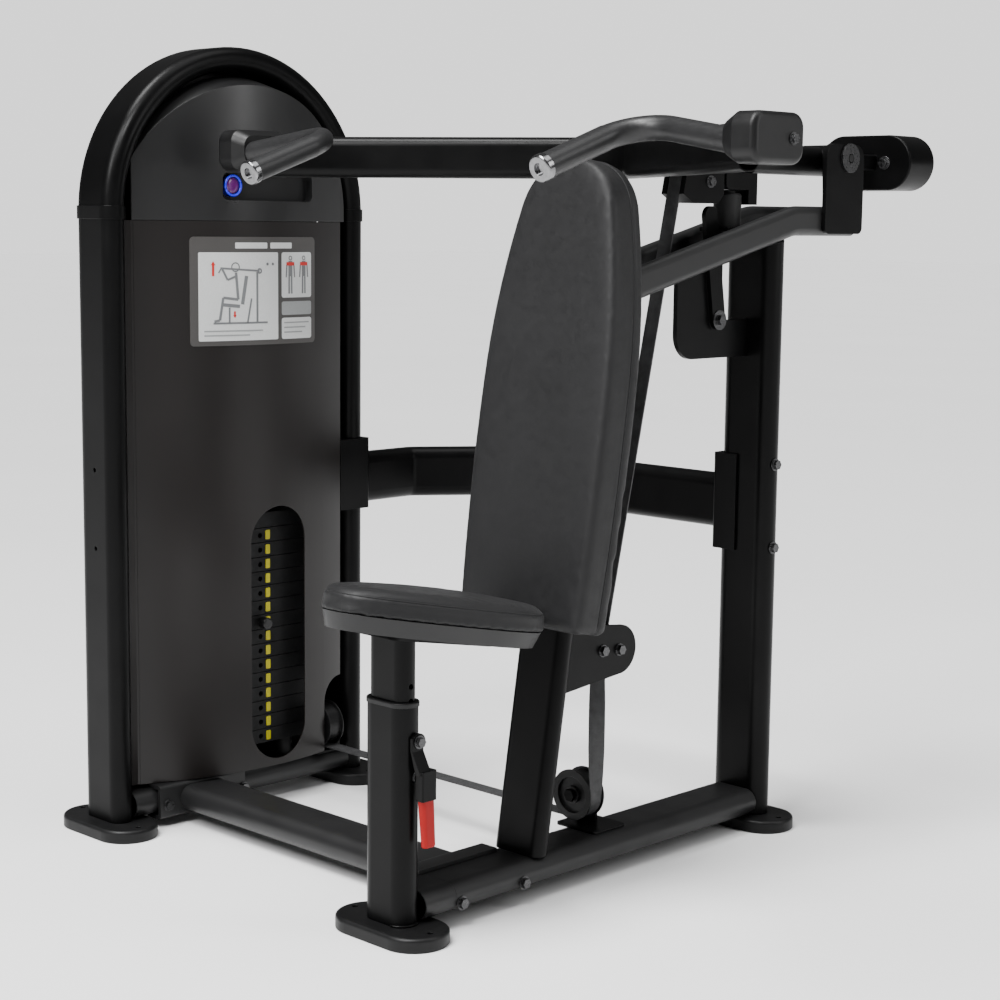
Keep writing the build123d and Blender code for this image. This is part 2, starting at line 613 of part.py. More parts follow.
# ---------------------------------------------------------------- rear upright and side brace
FORK_UNDER = FORK_H / 2 / cos(radians(FORK_SLOPE))
FORK_UNDER_PLANE = Plane(origin=(0, 0, fork_z(0) - FORK_UNDER - 0.3), x_dir=(1, 0, 0),
                         z_dir=(0, -sin(radians(FORK_SLOPE)), cos(radians(FORK_SLOPE))))
with BuildPart() as rear_upright:
    with BuildSketch(Plane.XY.offset(FOOT_H)) as section:
        tube_section(UPRIGHT_W, UPRIGHT_D)
    extrude(amount=1300 - FOOT_H)
    split(bisect_by=FORK_UNDER_PLANE.offset(-4), keep=Keep.BOTTOM)
    with BuildSketch(FORK_UNDER_PLANE.offset(-4)) as cap:
        SlotOverall(UPRIGHT_W, UPRIGHT_D)
    extrude(amount=4)
finish(rear_upright, "rear_upright")

BRACE_Z, BRACE_H, BRACE_D = 677.0, 114.0, 50.0
BRACE_START = TOWER_REAR + TOWER_D / 2 + 9
BRACE_END = -UPRIGHT_W / 2 - 9
with BuildPart() as side_brace:
    with BuildLine(Plane.XY.offset(BRACE_Z)) as brace_path:
        FilletPolyline((TOWER_X, BRACE_START), (TOWER_X, -161), (-739, 0), (BRACE_END, 0), radius=40)
    with BuildSketch(along_y(TOWER_X, BRACE_START, BRACE_Z)) as section:
        SlotOverall(BRACE_H, BRACE_D, rotation=90)
        SlotOverall(BRACE_H - 2 * WALL, BRACE_D - 2 * WALL, rotation=90, mode=Mode.SUBTRACT)
    sweep()
finish(side_brace, "side_brace")


def clamp_sketch(inner, depth):
    """C-shaped clamp round an upright: closed side at local x = 0, square inside."""
    with Locations((depth / 2 + 8, 0)):
        RectangleRounded(depth + 16, inner + 2 * (6 + GAP), 7)
    with Locations((depth / 2 + SADDLE_T - 0.5, 0)):
        Rectangle(depth, inner + 2 * GAP, mode=Mode.SUBTRACT)
    with Locations((depth + 20, 0)):
        Rectangle(40, 2 * inner, mode=Mode.SUBTRACT)


TOWER_CLAMP = Plane(origin=(TOWER_X, TOWER_REAR + TOWER_D / 2 + 8, 0), x_dir=(0, -1, 0), z_dir=(0, 0, 1))
UPRIGHT_CLAMP = Plane(origin=(-UPRIGHT_W / 2 - 8, 0, 0), x_dir=(1, 0, 0), z_dir=(0, 0, 1))
with BuildPart() as brace_saddles:
    for plane, inner, depth, z0, z1 in (
        (TOWER_CLAMP, TOWER_W, 86, 617, 773),
        (UPRIGHT_CLAMP, UPRIGHT_D, 60, 581, 781),
    ):
        with BuildSketch(plane.offset(z0)) as section:
            clamp_sketch(inner, depth)
        extrude(amount=z1 - z0)
finish(brace_saddles, "brace_saddles")

# ---------------------------------------------------------------- fork tubes and pivot
FORK_END_Y = 246.0
fork_start = (back_post_y(1110), fork_z(back_post_y(1110)))
with BuildPart() as fork_tubes:
    for x in (-FORK_X, FORK_X):
        with BuildLine(Plane.YZ.offset(x)) as fork_path:
            FilletPolyline(fork_start, (FORK_BEND_Y, FORK_BEND_Z), (FORK_END_Y, FORK_BEND_Z), radius=120)
        fork_plane = Plane(origin=fork_path.line @ 0, x_dir=(1, 0, 0), z_dir=fork_path.line % 0)
        with BuildSketch(fork_plane) as section:
            SlotOverall(FORK_H, FORK_W, rotation=90)
            SlotOverall(FORK_H - 2 * WALL, FORK_W - 2 * WALL, rotation=90, mode=Mode.SUBTRACT)
        sweep(path=fork_path.line)
        with BuildSketch(along_y(x, FORK_END_Y - 3, FORK_BEND_Z)) as end_cap:
            SlotOverall(FORK_H, FORK_W, rotation=90)
        extrude(amount=3)
    add(back_post_solid.part, mode=Mode.SUBTRACT)
finish(fork_tubes, "fork_tubes")

OUTER_X, PIVOT_PLATE_T = FORK_X + FORK_W / 2 + 0.3, 9.0
INNER_X, INNER_T = FORK_X - FORK_W / 2 - 6.3, 6.0
PLATE_Y0, PLATE_Y1, PLATE_Z0, PLATE_Z1 = 124.0, 256.0, 1232.5, 1416.0
with BuildPart() as pivot_plates:
    with BuildSketch(Plane.YZ.offset(OUTER_X)) as outer_plate:
        with Locations(((PLATE_Y0 + PLATE_Y1) / 2, (PLATE_Z0 + PLATE_Z1) / 2)):
            Rectangle(PLATE_Y1 - PLATE_Y0, PLATE_Z1 - PLATE_Z0)
        fillet(outer_plate.vertices().group_by(Axis.Y)[0], 14)
        fillet(outer_plate.vertices().group_by(Axis.Y)[-1], 30)
    extrude(amount=PIVOT_PLATE_T)
    with BuildSketch(Plane.YZ.offset(INNER_X)) as inner_plate:
        with Locations((PIVOT_Y, PIVOT_Z)):
            Circle(32)
        with Locations((218, 1262)):
            Rectangle(76, 56)
        make_hull()
    extrude(amount=INNER_T)
    with BuildSketch(Plane.YZ.offset(INNER_X)) as bore:
        with Locations((PIVOT_Y, PIVOT_Z)):
            Circle(PIVOT_R + 0.05)
    extrude(amount=60, mode=Mode.SUBTRACT)
finish(pivot_plates, "pivot_plates")

HUB_X = INNER_X - 0.6
HUB_R = 28.0
AXLE_X0, AXLE_X1 = -HUB_X - 0.6, OUTER_X + PIVOT_PLATE_T
with BuildPart() as pivot_axle:
    for start, amount, radius in ((AXLE_X0, AXLE_X1 - AXLE_X0, PIVOT_R), (AXLE_X1, 5, 30), (AXLE_X0 - 5, 5, 26),
                                  (INNER_X + INNER_T + 0.2, OUTER_X - INNER_X - INNER_T - 0.4, 20)):
        with BuildSketch(Plane.YZ.offset(start)) as disc:
            with Locations((PIVOT_Y, PIVOT_Z)):
                Circle(radius)
        extrude(amount=amount)
    with BuildSketch(Plane.YZ.offset(AXLE_X1 + 5)) as socket:
        with Locations((PIVOT_Y, PIVOT_Z)):
            RegularPolygon(11, 6)
    extrude(amount=-9, mode=Mode.SUBTRACT)
finish(pivot_axle, "pivot_axle")

# ---------------------------------------------------------------- rest bumper and its bracket
BUMPER_Y, BUMPER_R, BUMPER_TOP = -100.0, 28.0, 1317.5
SEAT_PLATE_Z = 1236.0
J_FRONT, J_LOW, J_HIGH = -256.0, 984.0, 1059.0
UPRIGHT_FACE = -UPRIGHT_D / 2 - 0.2
STRUT_LOW, STRUT_HIGH = (-135.0, 1060.0), (-168.0, 1266.0)
with BuildPart() as bumper_bracket:
    with BuildSketch(Plane.YZ.offset(-5)) as web:
        with BuildLine():
            Line((UPRIGHT_FACE, J_HIGH), (UPRIGHT_FACE, J_LOW))
            Line((UPRIGHT_FACE, J_LOW), (J_FRONT + 50, J_LOW))
            ThreePointArc((J_FRONT + 50, J_LOW), (J_FRONT + 14.6, J_LOW + 14.6), (J_FRONT, J_LOW + 50))
            Polyline((J_FRONT, J_LOW + 50), (J_FRONT, 1192), (-144, 1220),
                     (-141, SEAT_PLATE_Z), (-116, SEAT_PLATE_Z), (-116, J_HIGH), (UPRIGHT_FACE, J_HIGH))
        make_face()
    extrude(amount=10)
    with BuildSketch(Plane.YZ.offset(5)) as strut:
        with Locations(STRUT_LOW, STRUT_HIGH):
            Circle(19)
        make_hull()
    extrude(amount=10)
    with BuildSketch(Plane(origin=(0, BUMPER_Y, SEAT_PLATE_Z))) as seat_plate:
        RectangleRounded(2 * (FORK_X - FORK_W / 2) - 0.8, 84, 6)
    extrude(amount=8)
finish(bumper_bracket, "bumper_bracket")

with BuildPart() as bumper:
    with BuildSketch(Plane(origin=(0, BUMPER_Y, SEAT_PLATE_Z + 8))) as body:
        Circle(BUMPER_R)
    extrude(amount=BUMPER_TOP - SEAT_PLATE_Z - 14)
    fillet(bumper.edges().group_by(Axis.Z)[-1], 6)
    with BuildSketch(Plane(origin=(0, BUMPER_Y, BUMPER_TOP - 7))) as crown:
        Circle(15)
    extrude(amount=7)
    fillet(bumper.edges().group_by(Axis.Z)[-1], 3)
finish(bumper, "rest_bumper")

# ---------------------------------------------------------------- tower covers
PANEL_FRONT, PANEL_CREST, PANEL_REAR = (-830.0, -945.0), (-762.0, -720.0), (-790.0, -434.0)
WINDOW_Y0, WINDOW_Y1, WINDOW_Z0, WINDOW_Z1 = -706.0, -559.0, 104.0, 650.0
NOTCH_Y, NOTCH_Z, NOTCH_R = -494.0, 251.0, 52.0
LIP_X = PANEL_FRONT[0] - 5.6    # mounting lip along the panel's front edge


def bowed_sheet(offset):
    """Face between the panel's bowed outer line and a parallel line behind it."""
    with BuildLine() as edge:
        outer = ThreePointArc(PANEL_FRONT, PANEL_CREST, PANEL_REAR)
        inner = ThreePointArc(*[(x - offset, y) for x, y in (PANEL_FRONT, PANEL_CREST, PANEL_REAR)])
        Line(outer @ 0, inner @ 0)
        Line(outer @ 1, inner @ 1)
    make_face(edge.line.edges())


with BuildPart() as front_panel:
    with BuildSketch(Plane.XY.offset(PANEL_Z0)) as sheet:
        bowed_sheet(SHEET)
    extrude(amount=PANEL_Z1 - PANEL_Z0)
    with BuildSketch(Plane.XY.offset(PANEL_Z0)) as front_lip:
        with BuildLine():
            Polyline((PANEL_FRONT[0], PANEL_FRONT[1] + 1), (LIP_X + 3, PANEL_FRONT[1] - 4), (LIP_X + 3, -975.8),
                     (LIP_X, -975.8), (LIP_X, PANEL_FRONT[1] - 3), (PANEL_FRONT[0] - 2.5, PANEL_FRONT[1] + 2),
                     (PANEL_FRONT[0], PANEL_FRONT[1] + 1))
        make_face()
    extrude(amount=PANEL_Z1 - PANEL_Z0)
    with BuildSketch(Plane.YZ.offset(-850)) as openings:
        with Locations(((WINDOW_Y0 + WINDOW_Y1) / 2, (WINDOW_Z0 + WINDOW_Z1) / 2)):
            SlotOverall(WINDOW_Z1 - WINDOW_Z0, WINDOW_Y1 - WINDOW_Y0, rotation=90)
        with BuildLine():
            Polyline((NOTCH_Y, 0), (NOTCH_Y, NOTCH_Z - NOTCH_R))
            ThreePointArc((NOTCH_Y, NOTCH_Z - NOTCH_R),
                          (NOTCH_Y + 0.293 * NOTCH_R, NOTCH_Z - 0.293 * NOTCH_R),
                          (NOTCH_Y + NOTCH_R, NOTCH_Z))
            Polyline((NOTCH_Y + NOTCH_R, NOTCH_Z), (-400, NOTCH_Z), (-400, 0), (NOTCH_Y, 0))
        make_face()
    extrude(amount=150, mode=Mode.SUBTRACT)
finish(front_panel, "front_panel")

CAP_R, CAP_BACK = 279.0, -832.0
POCKET_Y0, POCKET_Y1, POCKET_Z0, POCKET_Z1 = -767.0, -533.0, 1287.0, 1343.0


def cap_prism(inset):
    """Bowed plan region of the cap, from its outer line back to its open back."""
    x0, x1, x2 = PANEL_FRONT[0], PANEL_CREST[0], PANEL_REAR[0]
    with BuildLine() as edge:
        bow = ThreePointArc((x0 - inset, PANEL_FRONT[1]), (x1 - inset, PANEL_CREST[1]), (x2 - inset, -434.0))
        back = CAP_BACK - 2 - inset
        Polyline(bow @ 1, (x2 - 8 - inset, -400), (back, -400), (back, -952), bow @ 0)
    make_face(edge.line.edges())


with BuildPart() as cap_hollow:
    with BuildSketch(Plane.YZ.offset(CAP_BACK - 1)) as disc:
        with Locations((TOWER_MID, ARCH_Z)):
            Circle(CAP_R - 4)
    extrude(amount=90, taper=16)
    with BuildSketch(Plane.XY.offset(PANEL_Z1 - 10)) as plan:
        cap_prism(4)
    extrude(amount=320, mode=Mode.INTERSECT)

with BuildPart() as cap_solid:
    with BuildSketch(Plane.YZ.offset(CAP_BACK)) as disc:
        with Locations((TOWER_MID, ARCH_Z)):
            Circle(CAP_R)
    extrude(amount=90, taper=16)
    with BuildSketch(Plane.XY.offset(PANEL_Z1 + 1)) as plan:
        cap_prism(0)
    extrude(amount=310, mode=Mode.INTERSECT)

POCKET_MID = ((POCKET_Y0 + POCKET_Y1) / 2, (POCKET_Z0 + POCKET_Z1) / 2)
POCKET_L, POCKET_H = POCKET_Y1 - POCKET_Y0, POCKET_Z1 - POCKET_Z0
POCKET_FLOOR = CAP_BACK + 46
with BuildPart() as pocket_tray:
    with BuildSketch(Plane.YZ.offset(POCKET_FLOOR - 3)) as tray:
        with Locations(POCKET_MID):
            RectangleRounded(POCKET_L + 6, POCKET_H + 6, 15)
    extrude(amount=60)
    add(cap_solid.part, mode=Mode.INTERSECT)

with BuildPart() as cap:
    add(cap_solid.part)
    add(cap_hollow.part, mode=Mode.SUBTRACT)
    add(pocket_tray.part)
    with BuildSketch(Plane.YZ.offset(POCKET_FLOOR)) as pocket:
        with Locations(POCKET_MID):
            RectangleRounded(POCKET_L, POCKET_H, 12)
    extrude(amount=60, mode=Mode.SUBTRACT)
finish(cap, "cap_panel")

DISPLAY_X = POCKET_FLOOR
with BuildPart() as display:
    with BuildSketch(Plane.YZ.offset(DISPLAY_X)) as housing:
        with Locations((-738, 1317)):
            Circle(23)
    extrude(amount=14)
    with BuildSketch(Plane.YZ.offset(DISPLAY_X + 10)) as lens_well:
        with Locations((-738, 1317)):
            Circle(17)
    extrude(amount=10, mode=Mode.SUBTRACT)
finish(display, "counter_display")

with BuildPart() as placard:
    with BuildSketch(Plane.XY.offset(992)) as sheet:
        with BuildLine():
            face_line = ThreePointArc(*[(x + 1.8, y) for x, y in (PANEL_FRONT, PANEL_CREST, PANEL_REAR)])
            back_line = ThreePointArc(*[(x + 0.2, y) for x, y in (PANEL_FRONT, PANEL_CREST, PANEL_REAR)])
            Line(face_line @ 0, back_line @ 0)
            Line(face_line @ 1, back_line @ 1)
        make_face()
    extrude(amount=222)
    with BuildSketch(Plane.YZ.offset(-850)) as outline:
        with Locations((-683.5, 1102.5)):
            RectangleRounded(312, 222, 10)
    extrude(amount=150, mode=Mode.INTERSECT)
finish(placard, "instruction_placard")

REAR_X, REAR_R, REAR_Z0 = TOWER_X - TOWER_W / 2 - 5, 300.0, 60.0
with BuildPart() as rear_cover:
    with BuildSketch(Plane.YZ.offset(REAR_X)) as outline:
        with Locations((TOWER_MID, ARCH_Z)):
            Circle(REAR_R)
        with Locations((TOWER_MID, (REAR_Z0 + ARCH_Z) / 2)):
            Rectangle(2 * REAR_R, ARCH_Z - REAR_Z0)
        with Locations((TOWER_REAR - 40, 695)):    # notch round the side brace's clamp
            Rectangle(90, 164, mode=Mode.SUBTRACT)
    extrude(amount=2)
finish(rear_cover, "rear_cover")

# ---------------------------------------------------------------- press arm
with BuildPart() as bar_solid:
    with BuildLine(Plane.XY.offset(BAR_Z)) as bar_path:
        FilletPolyline((-BAR_END_X, BAR_END_Y), (0, BAR_Y + 22), (BAR_END_X, BAR_END_Y), radius=150)
    bar_plane = Plane(origin=bar_path.line @ 0, x_dir=(0, 0, 1), z_dir=bar_path.line % 0)
    with BuildSketch(bar_plane) as section:
        RectangleRounded(BAR_H, BAR_T, 18)
    sweep()

with BuildPart() as overhead_bar:
    with BuildSketch(bar_plane) as section:
        RectangleRounded(BAR_H, BAR_T, 18)
        RectangleRounded(BAR_H - 2 * WALL, BAR_T - 2 * WALL, 15, mode=Mode.SUBTRACT)
    sweep(path=bar_path.line)
    for side in (-1, 1):
        with BuildSketch(Plane.YZ.offset(side * (BAR_END_X - 1))) as trim:
            with Locations((BAR_END_Y, BAR_Z)):
                Rectangle(200, 200)
        extrude(amount=side * 60, mode=Mode.SUBTRACT)
finish(overhead_bar, "overhead_bar")

ARM_REAR = PIVOT_Y + 34
with BuildPart() as arm:
    with BuildSketch(along_y(0, BAR_Y - 12, ARM_Z)) as section:
        RectangleRounded(ARM_W, ARM_H, 24)
        RectangleRounded(ARM_W - 2 * WALL, ARM_H - 2 * WALL, 21, mode=Mode.SUBTRACT)
    extrude(amount=ARM_REAR - BAR_Y + 12)
    add(bar_solid.part, mode=Mode.SUBTRACT)
    with BuildSketch(along_y(0, ARM_REAR - 4, ARM_Z)) as rear_wall:
        RectangleRounded(ARM_W, ARM_H, 24)
    extrude(amount=4)
    with BuildSketch(Plane.YZ.offset(-HUB_X)) as hub:
        with Locations((PIVOT_Y, PIVOT_Z)):
            Circle(HUB_R)
    extrude(amount=2 * HUB_X)
    with BuildSketch(Plane.YZ.offset(-HUB_X)) as bore:
        with Locations((PIVOT_Y, PIVOT_Z)):
            Circle(PIVOT_R + 0.06)
    extrude(amount=2 * HUB_X, mode=Mode.SUBTRACT)
finish(arm, "press_arm_tube")

COUNTER_Y0, COUNTER_Y1 = 375.0, 468.0
with BuildPart() as counterweight:
    with BuildSketch(along_y(0, COUNTER_Y0, 1384)) as section:
        SlotOverall(231, 117)
    extrude(amount=COUNTER_Y1 - COUNTER_Y0)
    fillet(counterweight.edges().group_by(Axis.Y)[0], 4)
    fillet(counterweight.edges().group_by(Axis.Y)[-1], 4)
    with BuildSketch(along_y(0, ARM_REAR, 1385)) as tail:
        RectangleRounded(60, 32, 6)
    extrude(amount=COUNTER_Y0 - ARM_REAR)
finish(counterweight, "counterweight")

POD_MID_Z = (POD_Z0 + POD_Z1) / 2
POD_MID_Y = (POD_Y0 + POD_Y1) / 2
with BuildPart() as pods:
    for side in (-1, 1):
        with BuildSketch(Plane.YZ.offset(side * BAR_END_X)) as inner_end:
            with Locations((POD_MID_Y + 6, POD_MID_Z)):
                RectangleRounded(POD_Y1 - POD_Y0 - 12, POD_Z1 - POD_Z0 - 22, 22)
        with BuildSketch(Plane.YZ.offset(side * (BAR_END_X + 26))) as shoulder:
            with Locations((POD_MID_Y, POD_MID_Z)):
                RectangleRounded(POD_Y1 - POD_Y0, POD_Z1 - POD_Z0, 24)
        loft()
        with BuildSketch(Plane.YZ.offset(side * (BAR_END_X + 26))) as outline:
            with Locations((POD_MID_Y, POD_MID_Z)):
                RectangleRounded(POD_Y1 - POD_Y0, POD_Z1 - POD_Z0, 24)
        extrude(amount=side * (POD_W - 26))
    for face in (pods.faces().sort_by(Axis.X)[0], pods.faces().sort_by(Axis.X)[-1]):
        fillet(face.edges(), 10)
finish(pods, "bar_end_pods")

GRIP_POINTS = ((BAR_END_X + 10, -839.7, 1375.9), (362.0, -800.0, 1412.0), (358.0, -1017.0, 1335.0))
with BuildPart() as grip_tubes:
    for side in (-1, 1):
        with BuildLine() as grip_path:
            FilletPolyline(*[(side * x, y, z) for x, y, z in GRIP_POINTS], radius=GRIP_BEND_R)
        with BuildSketch(Plane(origin=grip_path.line @ 0, z_dir=grip_path.line % 0)) as section:
            Circle(GRIP_TUBE_R)
        sweep(path=grip_path.line)
    add(pods.part, mode=Mode.SUBTRACT)
finish(grip_tubes, "grip_tubes")

grip_end = Vector(*GRIP_POINTS[2])
grip_dir = (grip_end - Vector(*GRIP_POINTS[1])).normalized()
GRIP_L, GRIP_CAP_L = 146.0, 14.0
with BuildPart() as grip_sleeves:
    for side in (-1, 1):
        direction = Vector(side * grip_dir.X, grip_dir.Y, grip_dir.Z)
        tip = Vector(side * grip_end.X, grip_end.Y, grip_end.Z)
        with BuildSketch(Plane(origin=tip - direction * GRIP_L, z_dir=direction)) as section:
            Circle(GRIP_R)
            Circle(GRIP_TUBE_R + 0.05, mode=Mode.SUBTRACT)
        extrude(amount=GRIP_L)
finish(grip_sleeves, "grip_sleeves")

with BuildPart() as grip_caps:
    for side in (-1, 1):
        direction = Vector(side * grip_dir.X, grip_dir.Y, grip_dir.Z)
        tip = Vector(side * grip_end.X, grip_end.Y, grip_end.Z)
        with BuildSketch(Plane(origin=tip + direction * 0.2, z_dir=direction)) as section:
            Circle(22.5)
        extrude(amount=GRIP_CAP_L)
        fillet(grip_caps.edges().group_by(Axis.Y)[0], 4)
        with BuildSketch(Plane(origin=tip + direction * (GRIP_CAP_L + 0.2), z_dir=direction)) as recess:
            Circle(10)
        extrude(amount=-6, mode=Mode.SUBTRACT)
finish(grip_caps, "grip_end_caps")

# ---------------------------------------------------------------- belt
ROLLER_BELT_R = ROLLER_R + 0.4 + BELT_T / 2
to_clamp = hypot(CLAMP_Y - REAR_ROLLER_Y, CLAMP_Z - ROLLER_Z)
wrap = atan2(CLAMP_Z - ROLLER_Z, CLAMP_Y - REAR_ROLLER_Y) + acos(ROLLER_BELT_R / to_clamp)
TANGENT = (REAR_ROLLER_Y + ROLLER_BELT_R * cos(wrap), ROLLER_Z + ROLLER_BELT_R * sin(wrap))
UPPER_DIR = Vector(0, CLAMP_Y - TANGENT[0], CLAMP_Z - TANGENT[1]).normalized()

FITTING_TOP = ARM_Z - ARM_H / 2
BELT_END = (FITTING_TOP - 1.5 - TANGENT[1]) / UPPER_DIR.Z
BELT_PLANE = Plane(origin=(0, *TANGENT), x_dir=(1, 0, 0), z_dir=UPPER_DIR)
with BuildPart() as fittings:
    with BuildSketch(Plane.YZ.offset(-28)) as clamp_side:
        with BuildLine():
            Polyline((-262, FITTING_TOP), (-262 - 46 * UPPER_DIR.Y, FITTING_TOP - 46 * UPPER_DIR.Z), (-240, 1290),
                     (-165, 1290), (-147, 1308), (-147, FITTING_TOP), (-262, FITTING_TOP))
        make_face()
    extrude(amount=56)
    with BuildSketch(BELT_PLANE.offset(BELT_END - 90)) as belt_bed:
        with Locations((0, -BELT_T)):
            Rectangle(BELT_W + 1, 3 * BELT_T + 1.4)
    extrude(amount=95, mode=Mode.SUBTRACT)
    with BuildSketch(Plane.YZ.offset(-25)) as stop_side:
        with BuildLine():
            Polyline((-136, FITTING_TOP), (-136, 1326), (-128, BUMPER_TOP + 0.8), (-64, BUMPER_TOP + 0.8),
                     (-64, 1289), (-36, 1289), (-36, FITTING_TOP), (-136, FITTING_TOP))
        make_face()
    extrude(amount=50)
finish(fittings, "arm_fittings")

with BuildPart() as belt_upper:
    with BuildSketch(Plane(origin=(0, *TANGENT), x_dir=(1, 0, 0), z_dir=UPPER_DIR)) as section:
        Rectangle(BELT_W, BELT_T)
    extrude(amount=BELT_END)
finish(belt_upper, "belt_upper_run")


def twisted_run(x, y, z0, z1, turns=6):
    """Loft a quarter-turn twist, from width along X at z1 to width along Y at z0."""
    sections = []
    for i in range(turns + 1):
        level = Plane(origin=(x, y, z0 + (z1 - z0) * i / turns))
        with BuildSketch(level.rotated((0, 0, 90 - 90 * i / turns))) as section:
            Rectangle(BELT_W, BELT_T)
        sections.append(section.sketch.faces()[0])
    loft(sections)


TWIST_TOP = ROLLER_Z - 30
with BuildPart() as belt:
    with BuildLine(Plane.YZ) as guide_arc:
        CenterArc((REAR_ROLLER_Y, ROLLER_Z), ROLLER_BELT_R, degrees(wrap), 180 - degrees(wrap))
    with BuildSketch(Plane(origin=(0, *TANGENT), x_dir=(1, 0, 0), z_dir=-UPPER_DIR)) as section:
        Rectangle(BELT_W, BELT_T)
    sweep(path=guide_arc.line)
    with BuildSketch(Plane(origin=(0, BELT_Y, ROLLER_Z))) as section:
        Rectangle(BELT_W, BELT_T)
    extrude(amount=TWIST_TOP - ROLLER_Z)
    with BuildLine(Plane.XZ.offset(-BELT_Y)) as floor_run:
        down = CenterArc((LOWER_X, PULLEY_Z), PULLEY_R, 0, -90)
        along = Line((LOWER_X, PULLEY_Z - PULLEY_R), (TOWER_PULLEY_X, PULLEY_Z - PULLEY_R))
        CenterArc((TOWER_PULLEY_X, PULLEY_Z), PULLEY_R, -90, -90)
    with BuildSketch(Plane(origin=(0, BELT_Y, PULLEY_Z), x_dir=(1, 0, 0), z_dir=(0, 0, -1))) as section:
        Rectangle(BELT_T, BELT_W)
    sweep(path=floor_run.line)
    twisted_run(0, BELT_Y, PULLEY_Z, TWIST_TOP)
    twisted_run(TOWER_X, BELT_Y, PULLEY_Z, TOP_PULLEY_Z)
    with BuildLine(Plane.YZ.offset(TOWER_X)) as top_arc:
        CenterArc((TOP_PULLEY_Y, TOP_PULLEY_Z), TOP_PULLEY_R, 0, 180)
    with BuildSketch(Plane(origin=(TOWER_X, BELT_Y, TOP_PULLEY_Z))) as section:
        Rectangle(BELT_W, BELT_T)
    sweep(path=top_arc.line)
finish(belt, "belt_route")

with BuildPart() as belt_stack:
    with BuildSketch(Plane(origin=(TOWER_X, STACK_Y, SHACKLE_Z + 26))) as section:
        Rectangle(BELT_W, BELT_T)
    extrude(amount=TOP_PULLEY_Z - SHACKLE_Z - 26.1)
finish(belt_stack, "belt_stack_run")

# ---------------------------------------------------------------- bolts
HEX_R, HEX_H = 10.0, 7.0


def bolt_set(planes, radius, height, washer):
    """Hexagon heads on washers, one on each plane."""
    for plane in planes:
        with BuildSketch(plane) as disc:
            Circle(washer)
        extrude(disc.sketch, amount=2)
        with BuildSketch(plane.offset(2)) as head:
            RegularPolygon(radius, 6)
        extrude(head.sketch, amount=height)


saddle_x = SADDLE_X0
side_x = BASE_W / 2 + 0.1
upright_x = UPRIGHT_W / 2 + 0.1
guide_x = BRACKET_X + BRACKET_T
with BuildPart() as frame_bolts:
    bolt_set([along_x(saddle_x, y, 47) for y in (-905, -709)], HEX_R, HEX_H, 12)
    bolt_set([along_x(side_x, y, 44) for y in (-889, -728.5)], HEX_R, HEX_H, 13)
    bolt_set([along_x(upright_x, 0, z) for z in (763, 591)], HEX_R, HEX_H, 13)
    bolt_set([along_x(15, *STRUT_LOW)], 11, 8, 20)
    bolt_set([along_x(guide_x, y, z) for y, z in ((REAR_ROLLER_Y, ROLLER_Z), (FRONT_ROLLER_Y, ROLLER_Z + 4))],
             HEX_R, HEX_H, 12)
    bolt_set([along_x(LEVER_X + 6.4, LEVER_Y, LEVER_Z)], 9, 6, 12)
    with BuildSketch(along_x(POST_W / 2 + 0.1, LEVER_Y, LEVER_Z)) as lever_shank:
        Circle(6.24)
    extrude(amount=LEVER_X + 6.4 - POST_W / 2)
    with BuildSketch(*[along_x(-guide_x, y, z) for y, z in
                       ((REAR_ROLLER_Y, ROLLER_Z), (FRONT_ROLLER_Y, ROLLER_Z + 4))]) as shanks:
        Circle(6.0)
    extrude(amount=2 * guide_x)
finish(frame_bolts, "frame_bolts")

pod_face = BAR_END_X + POD_W
with BuildPart() as arm_bolts:
    bolt_set([Plane(origin=(x, COUNTER_Y0, 1384), x_dir=(-1, 0, 0), z_dir=(0, -1, 0)) for x in (-50, 50)],
             11, 8, 14)
    bolt_set([along_x(pod_face, POD_Y1 - 32, POD_MID_Z)], 8, 5, 10)
    bolt_set([Plane(origin=(-pod_face, POD_Y1 - 32, POD_MID_Z), x_dir=(0, -1, 0), z_dir=(-1, 0, 0))], 8, 5, 10)
    bolt_set([along_x(28, -190, 1332)], 9, 6, 12)
finish(arm_bolts, "arm_bolts")
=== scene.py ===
import json
import math

import bmesh
import bpy
import numpy as np
from mathutils import Matrix, Vector
from mathutils.bvhtree import BVHTree


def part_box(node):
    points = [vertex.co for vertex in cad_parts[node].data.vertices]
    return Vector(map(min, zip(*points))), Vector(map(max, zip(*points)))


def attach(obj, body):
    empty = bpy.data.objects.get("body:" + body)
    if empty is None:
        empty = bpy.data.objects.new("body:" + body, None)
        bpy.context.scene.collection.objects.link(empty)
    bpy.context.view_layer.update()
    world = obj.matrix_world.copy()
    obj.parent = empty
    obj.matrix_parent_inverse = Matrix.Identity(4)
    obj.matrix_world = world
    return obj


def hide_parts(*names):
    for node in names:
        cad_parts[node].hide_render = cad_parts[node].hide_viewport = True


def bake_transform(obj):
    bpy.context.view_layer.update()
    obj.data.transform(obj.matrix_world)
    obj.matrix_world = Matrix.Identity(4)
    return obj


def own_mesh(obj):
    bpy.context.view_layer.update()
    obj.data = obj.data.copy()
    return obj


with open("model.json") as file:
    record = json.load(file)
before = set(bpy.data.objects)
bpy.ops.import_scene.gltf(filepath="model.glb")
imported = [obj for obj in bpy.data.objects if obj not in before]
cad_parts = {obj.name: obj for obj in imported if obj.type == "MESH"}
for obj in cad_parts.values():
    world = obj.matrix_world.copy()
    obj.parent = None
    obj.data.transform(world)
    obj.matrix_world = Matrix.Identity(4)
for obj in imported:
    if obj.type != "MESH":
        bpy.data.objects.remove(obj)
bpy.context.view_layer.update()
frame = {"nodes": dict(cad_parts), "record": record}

NODES = frame["nodes"]
MM = 0.001

